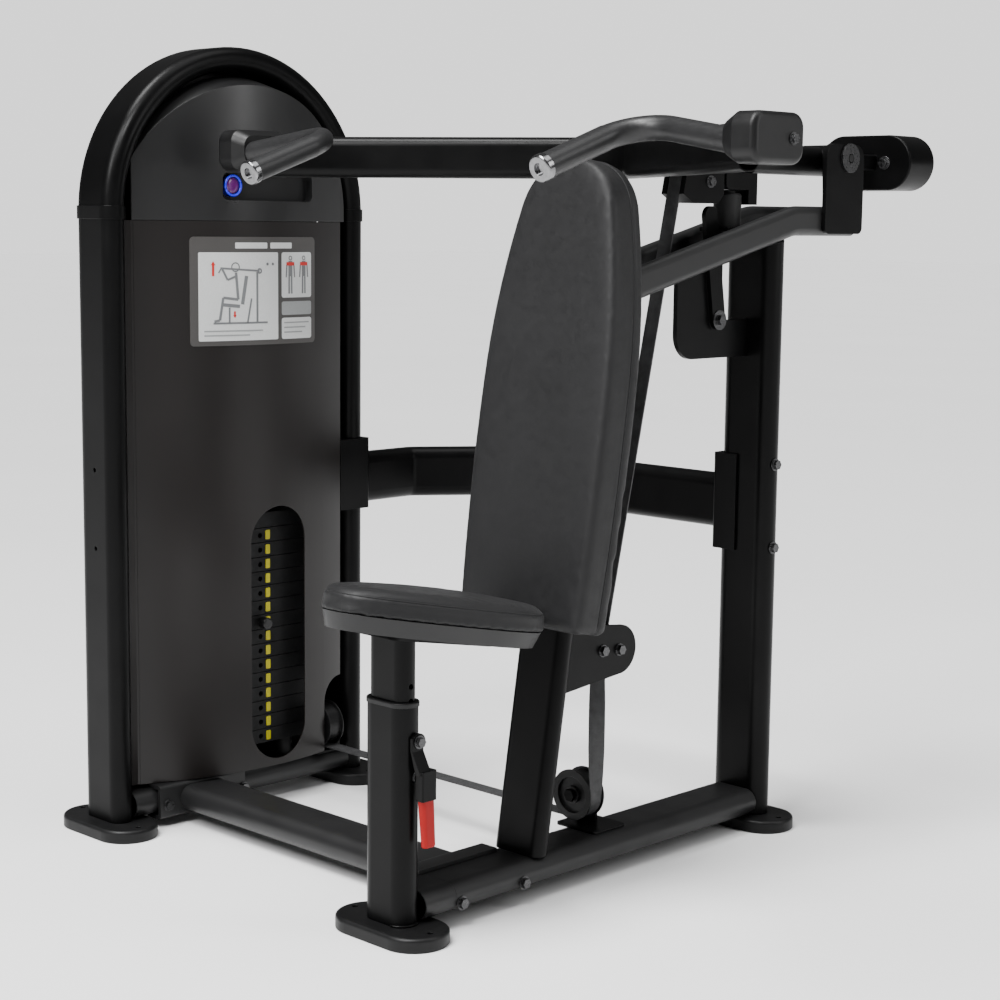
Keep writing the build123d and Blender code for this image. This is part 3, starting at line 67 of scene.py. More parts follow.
# ---------------------------------------------------------------- camera
CAMERA_AT = Vector((2.541, -3.347, 1.248))
CAMERA_AZIMUTH, CAMERA_PITCH, CAMERA_ROLL = 44.281, 7.783, 0.629
CAMERA_LENS = 73.04


def make_camera():
    """Camera at the viewing angle: azimuth from +Y towards -X, tilted down, slightly rolled."""
    azimuth, pitch, roll = (math.radians(v) for v in (CAMERA_AZIMUTH, CAMERA_PITCH, CAMERA_ROLL))
    ahead = Vector((-math.sin(azimuth) * math.cos(pitch), math.cos(azimuth) * math.cos(pitch),
                    -math.sin(pitch)))
    level = Vector((math.cos(azimuth), math.sin(azimuth), 0))
    above = level.cross(ahead)
    right = level * math.cos(roll) + above * math.sin(roll)
    up = above * math.cos(roll) - level * math.sin(roll)
    turn = Matrix((right, up, -ahead)).transposed().to_4x4()
    data = bpy.data.cameras.new("camera")
    data.lens = CAMERA_LENS
    data.sensor_width = 36
    camera = bpy.data.objects.new("camera", data)
    camera.matrix_world = Matrix.Translation(CAMERA_AT) @ turn
    bpy.context.scene.collection.objects.link(camera)
    bpy.context.scene.camera = camera


make_camera()

# ---------------------------------------------------------------- mesh helpers


def add_piece(name, bm, material, body, smooth=True):
    """Turn a bmesh in the shared frame into a piece, riding on a body where one is named."""
    mesh = bpy.data.meshes.new(name)
    bmesh.ops.recalc_face_normals(bm, faces=bm.faces)
    bm.to_mesh(mesh)
    bm.free()
    piece = bpy.data.objects.new(name, mesh)
    bpy.context.scene.collection.objects.link(piece)
    mesh.materials.append(material)
    if smooth:
        mesh.shade_smooth()
    if body:
        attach(piece, body)
    return piece


def apply_modifiers(piece):
    """Bake the piece's modifiers into its mesh."""
    graph = bpy.context.evaluated_depsgraph_get()
    mesh = bpy.data.meshes.new_from_object(piece.evaluated_get(graph))
    piece.modifiers.clear()
    piece.data = mesh


def tree_of(mesh):
    """Ray-cast tree of a mesh in the shared frame."""
    bm = bmesh.new()
    bm.from_mesh(mesh)
    tree = BVHTree.FromBMesh(bm)
    bm.free()
    return tree


def section_loop(mesh, point, normal):
    """Closed loop of points where a plane cuts the mesh, in order."""
    bm = bmesh.new()
    bm.from_mesh(mesh)
    geometry = bm.verts[:] + bm.edges[:] + bm.faces[:]
    cut = bmesh.ops.bisect_plane(bm, geom=geometry, plane_co=point, plane_no=normal)["geom_cut"]
    verts = {v for v in cut if isinstance(v, bmesh.types.BMVert)}
    edges = {e for e in cut if isinstance(e, bmesh.types.BMEdge)}
    loops = []
    while verts:
        vert = next(iter(verts))
        loop = []
        while vert is not None:
            loop.append(vert.co.copy())
            verts.discard(vert)
            onward = [e.other_vert(vert) for e in vert.link_edges if e in edges]
            vert = next((v for v in onward if v in verts), None)
        loops.append(loop)
    bm.free()
    return max(loops, key=len)


def even_loop(points, count):
    """The same closed loop with evenly spaced points."""
    ring = points + [points[0]]
    runs = [0.0]
    for a, b in zip(ring, ring[1:]):
        runs.append(runs[-1] + (b - a).length)
    places = np.linspace(0, runs[-1], count, endpoint=False)
    columns = [np.interp(places, runs, [p[i] for p in ring]) for i in range(3)]
    return [Vector(p) for p in zip(*columns)]


def tube_ring(bm, points, radius, sides=10, ripple=0.0, squeeze=1.0):
    """Closed tube through the points; ripple makes weld-like waves along it."""
    count = len(points)
    rings = []
    for i, point in enumerate(points):
        along = (points[(i + 1) % count] - points[i - 1]).normalized()
        upright = abs(along.z) > 0.95
        side = (along.orthogonal() if upright else along.cross(Vector((0, 0, 1)))).normalized()
        lift = side.cross(along).normalized()
        size = radius * (1 + ripple * math.sin(i * 2.1) + 0.5 * ripple * math.sin(i * 0.73))
        turns = [2 * math.pi * k / sides for k in range(sides)]
        rings.append([bm.verts.new(point + side * math.cos(t) * size + lift * math.sin(t) * size * squeeze)
                      for t in turns])
    for i in range(count):
        near, far = rings[i], rings[(i + 1) % count]
        for k in range(sides):
            bm.faces.new((near[k], near[(k + 1) % sides], far[(k + 1) % sides], far[k]))


def lathe(bm, centre, axis, profile, sides=48):
    """Surface of revolution from (distance along the axis, radius) pairs, closed at both ends."""
    axis = axis.normalized()
    side = axis.orthogonal().normalized()
    lift = axis.cross(side)
    rings = []
    for along, radius in profile:
        middle = centre + axis * along
        turns = [2 * math.pi * k / sides for k in range(sides)]
        rings.append([bm.verts.new(middle + (side * math.cos(t) + lift * math.sin(t)) * radius)
                      for t in turns])
    for near, far in zip(rings, rings[1:]):
        for k in range(sides):
            bm.faces.new((near[k], near[(k + 1) % sides], far[(k + 1) % sides], far[k]))
    bm.faces.new(rings[0])
    bm.faces.new(rings[-1])


# ---------------------------------------------------------------- materials
class Finish:
    """A procedural material built up from noise, grain and soft edges."""

    def __init__(self, name, colour, rough, metallic=0.0, level=0.5, coat=0.0, sheen=0.0):
        self.material = bpy.data.materials.new(name)
        self.material.use_nodes = True
        self.tree = self.material.node_tree
        self.shader = self.tree.nodes["Principled BSDF"]
        self.colour = colour
        self.rough = rough
        self.shader.inputs["Base Color"].default_value = (*colour, 1)
        self.shader.inputs["Roughness"].default_value = rough
        self.shader.inputs["Metallic"].default_value = metallic
        self.shader.inputs["Specular IOR Level"].default_value = level
        self.shader.inputs["Coat Weight"].default_value = coat
        self.shader.inputs["Coat Roughness"].default_value = 0.2
        self.shader.inputs["Sheen Weight"].default_value = sheen
        self.place = self.tree.nodes.new("ShaderNodeTexCoord").outputs["Object"]

    def link(self, source, target):
        self.tree.links.new(source, target)

    def stretched(self, stretch):
        """Object coordinates scaled by stretch."""
        node = self.tree.nodes.new("ShaderNodeMapping")
        node.inputs["Scale"].default_value = stretch
        self.link(self.place, node.inputs["Vector"])
        return node.outputs["Vector"]

    def noise(self, scale, detail=3.0, stretch=(1, 1, 1)):
        node = self.tree.nodes.new("ShaderNodeTexNoise")
        node.inputs["Scale"].default_value = scale
        node.inputs["Detail"].default_value = detail
        self.link(self.stretched(stretch), node.inputs["Vector"])
        return node.outputs["Fac"]

    def cells(self, scale, stretch=(1, 1, 1), feature="DISTANCE_TO_EDGE"):
        node = self.tree.nodes.new("ShaderNodeTexVoronoi")
        node.feature = feature
        node.inputs["Scale"].default_value = scale
        self.link(self.stretched(stretch), node.inputs["Vector"])
        return node.outputs["Distance"]

    def ranged(self, source, low, high, start=0.3, end=0.7):
        node = self.tree.nodes.new("ShaderNodeMapRange")
        node.inputs["From Min"].default_value = start
        node.inputs["From Max"].default_value = end
        node.inputs["To Min"].default_value = low
        node.inputs["To Max"].default_value = high
        self.link(source, node.inputs["Value"])
        return node.outputs["Result"]

    def product(self, first, second):
        node = self.tree.nodes.new("ShaderNodeMath")
        node.operation = "MULTIPLY"
        self.link(first, node.inputs[0])
        self.link(second, node.inputs[1])
        return node.outputs[0]

    def tint(self, source, darker, lighter, start=0.3, end=0.7):
        """Vary the base colour between two multiples of it."""
        ramp = self.tree.nodes.new("ShaderNodeValToRGB")
        ramp.color_ramp.elements[0].position = start
        ramp.color_ramp.elements[1].position = end
        for element, share in zip(ramp.color_ramp.elements, (darker, lighter)):
            element.color = (*[min(1, c * share) for c in self.colour], 1)
        self.link(source, ramp.inputs["Fac"])
        self.link(ramp.outputs["Color"], self.shader.inputs["Base Color"])

    def gloss(self, source, low, high):
        """Vary the roughness."""
        self.link(self.ranged(source, low, high), self.shader.inputs["Roughness"])

    def relief(self, source, depth, edge=0.0):
        """Bump of a given depth in metres, with edges softened by a small radius."""
        bump = self.tree.nodes.new("ShaderNodeBump")
        bump.inputs["Distance"].default_value = depth
        bump.inputs["Strength"].default_value = 1.0
        self.link(source, bump.inputs["Height"])
        if edge:
            soft = self.tree.nodes.new("ShaderNodeBevel")
            soft.samples = 4
            soft.inputs["Radius"].default_value = edge
            self.link(soft.outputs["Normal"], bump.inputs["Normal"])
        self.link(bump.outputs["Normal"], self.shader.inputs["Normal"])

    def grained(self, patch=5.0, spread=0.12, grain=900.0, depth=0.00002, edge=0.0012, shine=0.05):
        """The usual build-up: slow colour drift, fine orange peel and softened edges."""
        drift = self.noise(patch, 4.0)
        self.tint(drift, 1 - spread, 1 + spread)
        self.gloss(self.noise(patch * 3.0, 5.0), self.rough - shine, self.rough + shine)
        self.relief(self.noise(grain, 2.0), depth, edge)
        return self.material


def leather():
    """Vinyl with a fine pebbled grain and faint creasing."""
    finish = Finish("upholstery_vinyl", (0.0088, 0.0088, 0.0093), 0.5, level=0.26, sheen=0.03)
    finish.tint(finish.noise(9.0, 5.0), 0.88, 1.14)
    finish.gloss(finish.noise(60.0, 4.0), 0.44, 0.58)
    pebbles = finish.product(finish.ranged(finish.cells(620.0), 0.0, 1.0, 0.0, 0.35),
                             finish.noise(180.0, 3.0))
    finish.relief(pebbles, 0.00022)
    return finish.material


def cast_iron():
    finish = Finish("cast_iron_paint", (0.006, 0.006, 0.0063), 0.55, level=0.25)
    finish.tint(finish.noise(30.0, 6.0), 0.7, 1.4)
    finish.gloss(finish.noise(90.0, 4.0), 0.48, 0.66)
    finish.relief(finish.noise(420.0, 5.0), 0.00018, 0.0012)
    return finish.material


def brushed_steel():
    finish = Finish("zinc_steel", (0.09, 0.09, 0.092), 0.28, metallic=1.0)
    finish.tint(finish.noise(700.0, 2.0, (1, 0.08, 1)), 0.8, 1.1)
    finish.gloss(finish.noise(240.0, 4.0), 0.22, 0.42)
    finish.relief(finish.noise(1500.0, 2.0, (1, 0.1, 1)), 0.000006, 0.0012)
    return finish.material


def polished_rod():
    finish = Finish("ground_rod", (0.10, 0.10, 0.105), 0.22, metallic=1.0)
    finish.tint(finish.noise(40.0, 3.0, (1, 1, 0.1)), 0.85, 1.08)
    finish.gloss(finish.noise(900.0, 3.0, (1, 1, 12)), 0.14, 0.3)
    finish.relief(finish.noise(1400.0, 2.0, (0.2, 0.2, 3)), 0.00001)
    return finish.material


def turned_aluminium():
    finish = Finish("turned_aluminium", (0.24, 0.24, 0.245), 0.16, metallic=1.0)
    finish.tint(finish.noise(120.0, 3.0), 0.86, 1.1)
    finish.gloss(finish.noise(500.0, 3.0), 0.13, 0.28)
    finish.relief(finish.noise(1200.0, 2.0, (1, 4, 1)), 0.000006, 0.001)
    return finish.material


def belt_weave():
    """Coated flat belt: fine cords along the length and a slightly worn face."""
    finish = Finish("belt_coating", (0.034, 0.034, 0.035), 0.5, level=0.4)
    finish.tint(finish.noise(60.0, 5.0), 0.75, 1.35)
    finish.gloss(finish.noise(200.0, 4.0), 0.45, 0.65)
    finish.relief(finish.cells(900.0, (1, 1, 0.35), "F1"), 0.0002)
    return finish.material


def moulded_grip():
    """Satin grip covering with a light moulded texture."""
    finish = Finish("grip_moulding", (0.0125, 0.0125, 0.013), 0.38, level=0.35, coat=0.05)
    finish.tint(finish.noise(40.0, 4.0), 0.88, 1.12)
    finish.gloss(finish.noise(160.0, 3.0), 0.34, 0.47)
    finish.relief(finish.cells(1100.0, (1, 1, 1), "F1"), 0.00006)
    return finish.material


def printed(name, colour, rough=0.35):
    """Ink or film on a printed sheet, with a faint speckle."""
    finish = Finish(name, colour, rough, level=0.4)
    finish.tint(finish.noise(400.0, 3.0), 0.94, 1.05)
    finish.gloss(finish.noise(50.0, 3.0), rough - 0.05, rough + 0.07)
    finish.relief(finish.noise(1500.0, 2.0), 0.00001)
    return finish.material


def floor_paper():
    finish = Finish("floor_paper", (0.88, 0.88, 0.88), 0.85, level=0.15)
    finish.tint(finish.noise(0.6, 2.0), 0.985, 1.01)
    finish.gloss(finish.noise(3.0, 2.0), 0.8, 0.9)
    return finish.material


def painted_parts():
    """One material for each slot of the record, and a lighter copy of the frame paint whose extra lightness
    is painted light, for tubes lit from above.
    """
    return {
        "frame_paint": Finish("frame_powder_coat", (0.0020, 0.0020, 0.0021), 0.33, level=0.11).grained(
            grain=1100.0, depth=0.00003, edge=0.0015, spread=0.14),
        # lighter copy of the frame paint: its lighter colour is painted light, for the light falling from
        # above on the tubes it is given to
        "frame_paint_with_painted_light": Finish("frame_powder_coat_with_painted_light", (0.0105, 0.0105, 0.0108), 0.42, level=0.36).grained(
            grain=1100.0, depth=0.00003, edge=0.0015, spread=0.14),
        "panel_paint": Finish("panel_powder_coat", (0.0078, 0.0062, 0.0058), 0.34, level=0.3).grained(
            patch=2.5, grain=1300.0, depth=0.00002, spread=0.1, shine=0.03),
        "cap_plastic": Finish("cap_moulding", (0.010, 0.010, 0.0103), 0.32, level=0.4).grained(
            patch=3.0, grain=800.0, depth=0.00003, spread=0.08, edge=0.002),
        "foot_grey": Finish("foot_moulding", (0.0058, 0.0058, 0.006), 0.45, level=0.22).grained(
            patch=12.0, grain=520.0, depth=0.00008, edge=0.002),
        "pod_grey": Finish("pod_moulding", (0.0036, 0.0036, 0.0038), 0.42, level=0.3).grained(
            patch=14.0, grain=700.0, depth=0.00006, edge=0.002),
        "upholstery": leather(),
        "board": Finish("black_board", (0.005, 0.005, 0.0052), 0.5, level=0.25).grained(
            patch=8.0, grain=480.0, depth=0.00006),
        "plate_iron": cast_iron(),
        "label_yellow": printed("label_yellow", (0.52, 0.46, 0.0008)),
        "rod_steel": polished_rod(),
        "bolt_steel": brushed_steel(),
        "cap_aluminium": turned_aluminium(),
        "belt_black": belt_weave(),
        "rubber_black": Finish("moulded_rubber", (0.006, 0.006, 0.0062), 0.55, level=0.25).grained(
            patch=20.0, grain=900.0, depth=0.00008),
        "wheel_plastic": Finish("nylon_wheel", (0.006, 0.006, 0.0062), 0.38, level=0.3).grained(
            patch=16.0, grain=700.0, depth=0.00003),
        "bush_plastic": Finish("nylon_bush", (0.007, 0.007, 0.0072), 0.45, level=0.3).grained(
            patch=16.0, grain=600.0, depth=0.00005),
        "grip_red": Finish("red_vinyl_grip", (0.30, 0.0035, 0.0035), 0.4, level=0.2).grained(
            patch=30.0, grain=600.0, depth=0.00006, spread=0.1),
        # the record says that this knob is red, but the photograph shows no red knob there
        "pin_plastic": Finish("knob_moulding", (0.010, 0.010, 0.010), 0.35, level=0.4).grained(
            patch=30.0, grain=800.0, depth=0.00003, spread=0.1),
        "placard_print": printed("placard_border", (0.055, 0.052, 0.050)),
        "display_plastic": Finish("display_housing", (0.006, 0.006, 0.16), 0.25, level=0.4).grained(
            patch=30.0, grain=900.0, depth=0.00002),
        "grip_rubber": moulded_grip(),
    }


FINISHES = painted_parts()
INK = printed("placard_ink", (0.15, 0.155, 0.16))
WHITE_FILM = printed("placard_white", (0.56, 0.57, 0.565))
GREY_FILM = printed("placard_grey", (0.27, 0.28, 0.28))
RED_INK = printed("placard_red", (0.50, 0.02, 0.015))

# Nodes that are finished otherwise than their slot in the record says, to look like the photograph.
# These tubes and the pan shell get the lighter copy of the frame paint: painted light, standing in for the
# light that falls on them from above.
PAINTED_LIGHT_NODES = ("main_base_tube", "lateral_base_tube", "front_base_stub", "base_saddles", "tower_cross_tube",
                 "fork_tubes", "seat_pan_shell")
FINISH_OF_NODE = {"grip_tubes": "grip_rubber", "seat_lever": "frame_paint",
                  **{node: "frame_paint_with_painted_light" for node in PAINTED_LIGHT_NODES}}


def paint_nodes():
    """Give every CAD node the finish of its material slot, or the one FINISH_OF_NODE names."""
    for part in frame["record"]["subparts"]:
        node = NODES[part["node"]]
        slot = FINISH_OF_NODE.get(part["node"], part["material_slot"])
        node.data.materials.clear()
        node.data.materials.append(FINISHES[slot])


paint_nodes()

# ---------------------------------------------------------------- padded pieces
CLOTH_FRAMES = 20
CLOTH_PRESSURE = 4.0
CLOTH_SHARE = 0.4
QUICK_SWELL = 0.7
HALF_HELD = 0.006
EASE = 0.012
CROWN_FROM = 0.6
SEAM_DEPTH, SEAM_REACH = 0.0016, 0.0035
WELT_RADIUS = 0.0011
PAD_LEAN = math.radians(8.8)
PAD_FACING = Vector((0, -math.cos(PAD_LEAN), math.sin(PAD_LEAN)))


def coordinates(mesh):
    values = np.empty(len(mesh.vertices) * 3, np.float32)
    mesh.vertices.foreach_get("co", values)
    return values.reshape(-1, 3).astype(float)


def set_coordinates(mesh, values):
    mesh.vertices.foreach_set("co", values.astype(np.float32).ravel())
    mesh.update()


def normals(mesh):
    values = np.empty(len(mesh.vertices) * 3, np.float32)
    mesh.vertices.foreach_get("normal", values)
    return values.reshape(-1, 3).astype(float)


def inflate(piece, held):
    """Points of the piece blown up by a short cloth simulation; held is each point's pin weight."""
    group = piece.vertex_groups.new(name="held")
    for weight in (0.5, 1.0):
        chosen = [int(i) for i in np.nonzero(np.isclose(held, weight))[0]]
        group.add(chosen, weight, "REPLACE")
    cloth = piece.modifiers.new("cloth", "CLOTH")
    settings = cloth.settings
    settings.use_pressure = True
    settings.uniform_pressure_force = CLOTH_PRESSURE
    settings.effector_weights.gravity = 0.0
    settings.vertex_group_mass = "held"
    settings.tension_stiffness = 25
    settings.compression_stiffness = 25
    settings.bending_stiffness = 2.0
    cloth.point_cache.frame_start = 1
    cloth.point_cache.frame_end = CLOTH_FRAMES
    scene = bpy.context.scene
    for step in range(1, CLOTH_FRAMES + 1):
        scene.frame_set(step)
    graph = bpy.context.evaluated_depsgraph_get()
    moved = bpy.data.meshes.new_from_object(piece.evaluated_get(graph))
    result = coordinates(moved)
    piece.modifiers.clear()
    piece.vertex_groups.clear()
    bpy.data.meshes.remove(moved)
    scene.frame_set(1)
    return result


def padded_piece(name, node, body, base, facing, voxel, shrink, cap, thickness, seams, crown, backing):
    """Foam-filled cover in the place of a CAD cushion, with sewn seams pressed into it.

    base is a point on the flat backing and facing the direction away from it. The cover starts smaller
    by shrink and swells by up to cap. The simulation's median move is about two to four times cap, so what
    it decides is small: most of the cover swells by nearly the whole cap, and CLOTH_SHARE of the direction
    is the simulation's, the rest the plain normal. After it comes a gentle crown. seams lists heights above
    the backing. What lies lower than backing keeps its CAD place.
    """
    piece = bpy.data.objects.new(name, NODES[node].data.copy())
    bpy.context.scene.collection.objects.link(piece)
    remesh = piece.modifiers.new("remesh", "REMESH")
    remesh.mode = "VOXEL"
    remesh.voxel_size = voxel
    apply_modifiers(piece)
    start = coordinates(piece.data)
    height = (start - np.array(base)) @ np.array(facing)
    free = np.clip((height - backing) / EASE, 0, 1)[:, None]
    start -= normals(piece.data) * shrink * free
    set_coordinates(piece.data, start)
    held = np.where(height < backing, 1.0, np.where(height < backing + HALF_HELD, 0.5, 0.0))
    swollen = start + normals(piece.data) * cap * QUICK_SWELL * free
    swollen = inflate(piece, held)
    move = swollen - start
    size = np.linalg.norm(move, axis=1, keepdims=True) + 1e-9
    swell = cap * np.tanh(size / cap)
    towards = CLOTH_SHARE * move / size + (1 - CLOTH_SHARE) * normals(piece.data)
    shape = start + towards * swell * free
    centre = shape.mean(axis=0)
    across = shape - centre - ((shape - centre) @ np.array(facing))[:, None] * np.array(facing)
    reach = np.linalg.norm(across, axis=1) / np.linalg.norm(across, axis=1).max()
    level = (shape - np.array(base)) @ np.array(facing)
    top = np.clip((level - CROWN_FROM * thickness) / ((1 - CROWN_FROM) * thickness), 0, 1)
    shape += (top * crown * (1 - reach ** 2))[:, None] * np.array(facing)
    set_coordinates(piece.data, shape)
    smooth = piece.modifiers.new("smooth", "SMOOTH")
    smooth.factor = 0.5
    smooth.iterations = 3
    rounder = piece.modifiers.new("subdivision", "SUBSURF")
    rounder.levels = 1
    rounder.render_levels = 1
    apply_modifiers(piece)
    shape = coordinates(piece.data)
    level = (shape - np.array(base)) @ np.array(facing)
    for seam in seams:
        pinch = SEAM_DEPTH * np.exp(-((level - seam) / SEAM_REACH) ** 2)
        shape -= normals(piece.data) * pinch[:, None]
    set_coordinates(piece.data, shape)
    piece.data.materials.clear()
    piece.data.materials.append(FINISHES["upholstery"])
    piece.data.shade_smooth()
    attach(piece, body)
    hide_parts(node)
    for i, seam in enumerate(seams):
        loop = even_loop(section_loop(piece.data, Vector(base) + Vector(facing) * seam, Vector(facing)), 260)
        bm = bmesh.new()
        tube_ring(bm, loop, WELT_RADIUS, sides=8)
        add_piece(f"{name}_welt_{i + 1}", bm, FINISHES["upholstery"], body)


def flat_side(node, facing):
    """Point on the side of a node that looks away from facing, and its thickness that way."""
    places = coordinates(NODES[node].data)
    values = places @ np.array(facing)
    return Vector(places[int(values.argmin())]), float(values.max() - values.min())


def dominant_facing(node, rough):
    """Area-weighted normal of the node's largest flat side, on the side that rough points to."""
    sums = {}
    for face in NODES[node].data.polygons:
        if face.normal.dot(rough) > 0.7:
            key = tuple(round(c, 2) for c in face.normal)
            total, area = sums.get(key, (Vector(), 0.0))
            sums[key] = (total + face.normal * face.area, area + face.area)
    return max(sums.values(), key=lambda s: s[1])[0].normalized()


def make_pads():
    pad_facing = dominant_facing("back_pad", PAD_FACING)
    base, thickness = flat_side("back_pad", pad_facing)
    padded_piece("back_pad_cover", "back_pad", "frame", base, pad_facing, voxel=0.0055, shrink=0.002,
                 cap=0.004, thickness=thickness, seams=(0.028,), crown=0.004, backing=0.024)
    seat_facing = dominant_facing("seat_cushion", Vector((0, 0, 1)))
    base, thickness = flat_side("seat_cushion", seat_facing)
    padded_piece("seat_cushion_cover", "seat_cushion", "seat", base, seat_facing, voxel=0.005, shrink=0.003,
                 cap=0.005, thickness=thickness, seams=(thickness * 0.72,), crown=0.002, backing=0.004)


make_pads()

# ---------------------------------------------------------------- belt runs cut across
ARM_RUN_CUTS, STACK_RUN_CUTS = 48, 12
END_DEPTH = 0.02


def cut_copy(name, node, start, end, cuts):
    """Copy of a straight CAD run with cross cuts along it."""
    bm = bmesh.new()
    bm.from_mesh(NODES[node].data)
    for i in range(1, cuts):
        geometry = bm.verts[:] + bm.edges[:] + bm.faces[:]
        bmesh.ops.bisect_plane(bm, geom=geometry, plane_co=start.lerp(end, i / cuts),
                               plane_no=(end - start).normalized())
    piece = add_piece(name, bm, FINISHES["belt_black"], None, smooth=False)
    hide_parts(node)
    return piece


def end_points(node):
    """Middle of the lowest and of the highest end of a straight run."""
    places = coordinates(NODES[node].data)
    low, high = places[:, 2].min(), places[:, 2].max()
    lower = places[places[:, 2] < low + END_DEPTH].mean(axis=0)
    upper = places[places[:, 2] > high - END_DEPTH].mean(axis=0)
    return Vector(lower), Vector(upper)


def make_belts():
    """Cut copies of the run to the arm and of the run to the stack; the one to the stack rides on the frame.
    """
    low, high = end_points("belt_upper_run")
    upper = cut_copy("belt_to_arm", "belt_upper_run", low, high, ARM_RUN_CUTS)
    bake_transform(upper)
    hitch, pulley = end_points("belt_stack_run")
    run = cut_copy("belt_to_stack", "belt_stack_run", hitch, pulley, STACK_RUN_CUTS)
    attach(run, "frame")
    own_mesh(run)


make_belts()

# ---------------------------------------------------------------- instruction placard
FILM_LIFT, INK_LIFT, TOP_LIFT = 0.35, 0.8, 0.95


class Sheet:
    """Drawing surface on the +X face of a node; u runs along +Y and v up, in mm from its lower corner."""

    def __init__(self, node, body):
        self.low, self.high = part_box(node)
        self.tree = tree_of(NODES[node].data)
        self.body = body
        self.width = (self.high.y - self.low.y) / MM
        self.height = (self.high.z - self.low.z) / MM

    def spot(self, u, v, lift):
        y, z = self.low.y + u * MM, self.low.z + v * MM
        start = Vector((self.high.x + 0.2, y, z))
        hit = self.tree.ray_cast(start, Vector((-1, 0, 0)))[0]
        return Vector(((hit.x if hit else self.low.x) + lift * MM, y, z))

    def strip(self, bm, pairs, lift):
        """Band of quads between lower and upper (u, v) points."""
        rows = [[bm.verts.new(self.spot(*p, lift)) for p in pair] for pair in pairs]
        for (a, b), (c, d) in zip(rows, rows[1:]):
            bm.faces.new((a, c, d, b))

    def panel(self, bm, u0, v0, u1, v1, corner, lift):
        """Rounded rectangle."""
        columns = int((u1 - u0) / 6) + 2
        steps = [u0 + (u1 - u0) * i / columns for i in range(columns + 1)]
        bends = [corner * (1 - math.cos(math.radians(a))) for a in (0, 20, 40, 60, 90)]
        steps = sorted(set(steps[1:-1] + [u0 + b for b in bends] + [u1 - b for b in bends]))
        pairs = []
        for u in steps:
            depth = min(corner, u - u0, u1 - u)
            rise = corner - math.sqrt(max(0.0, corner ** 2 - (corner - depth) ** 2)) if corner else 0.0
            pairs.append(((u, v0 + rise), (u, v1 - rise)))
        self.strip(bm, pairs, lift)

    def line(self, bm, points, width, lift):
        """Stroke with flat ends through the points."""
        for (u0, v0), (u1, v1) in zip(points, points[1:]):
            length = math.hypot(u1 - u0, v1 - v0)
            du, dv = (v1 - v0) / length * width / 2, -(u1 - u0) / length * width / 2
            parts = max(1, int(length / 8))
            pairs = []
            for i in range(parts + 1):
                u, v = u0 + (u1 - u0) * i / parts, v0 + (v1 - v0) * i / parts
                pairs.append(((u + du, v + dv), (u - du, v - dv)))
            self.strip(bm, pairs, lift)

    def disc(self, bm, u, v, radius, lift, inner=0.0):
        turns = [2 * math.pi * i / 24 for i in range(25)]
        pairs = [((u + math.cos(t) * inner, v + math.sin(t) * inner),
                  (u + math.cos(t) * radius, v + math.sin(t) * radius)) for t in turns]
        self.strip(bm, pairs, lift)

    def arrow(self, bm, u, v0, v1, width, lift):
        """Upright arrow from v0 to v1 with a pointed head."""
        neck = v1 - (width * 1.6 if v1 > v0 else -width * 1.6)
        self.line(bm, [(u, v0), (u, neck)], width, lift)
        self.strip(bm, [((u - width, neck), (u - width, neck)), ((u, neck), (u, v1)),
                        ((u + width, neck), (u + width, neck))], lift)


def thicken(piece, depth):
    solid = piece.modifiers.new("thickness", "SOLIDIFY")
    solid.thickness = depth
    solid.offset = -1


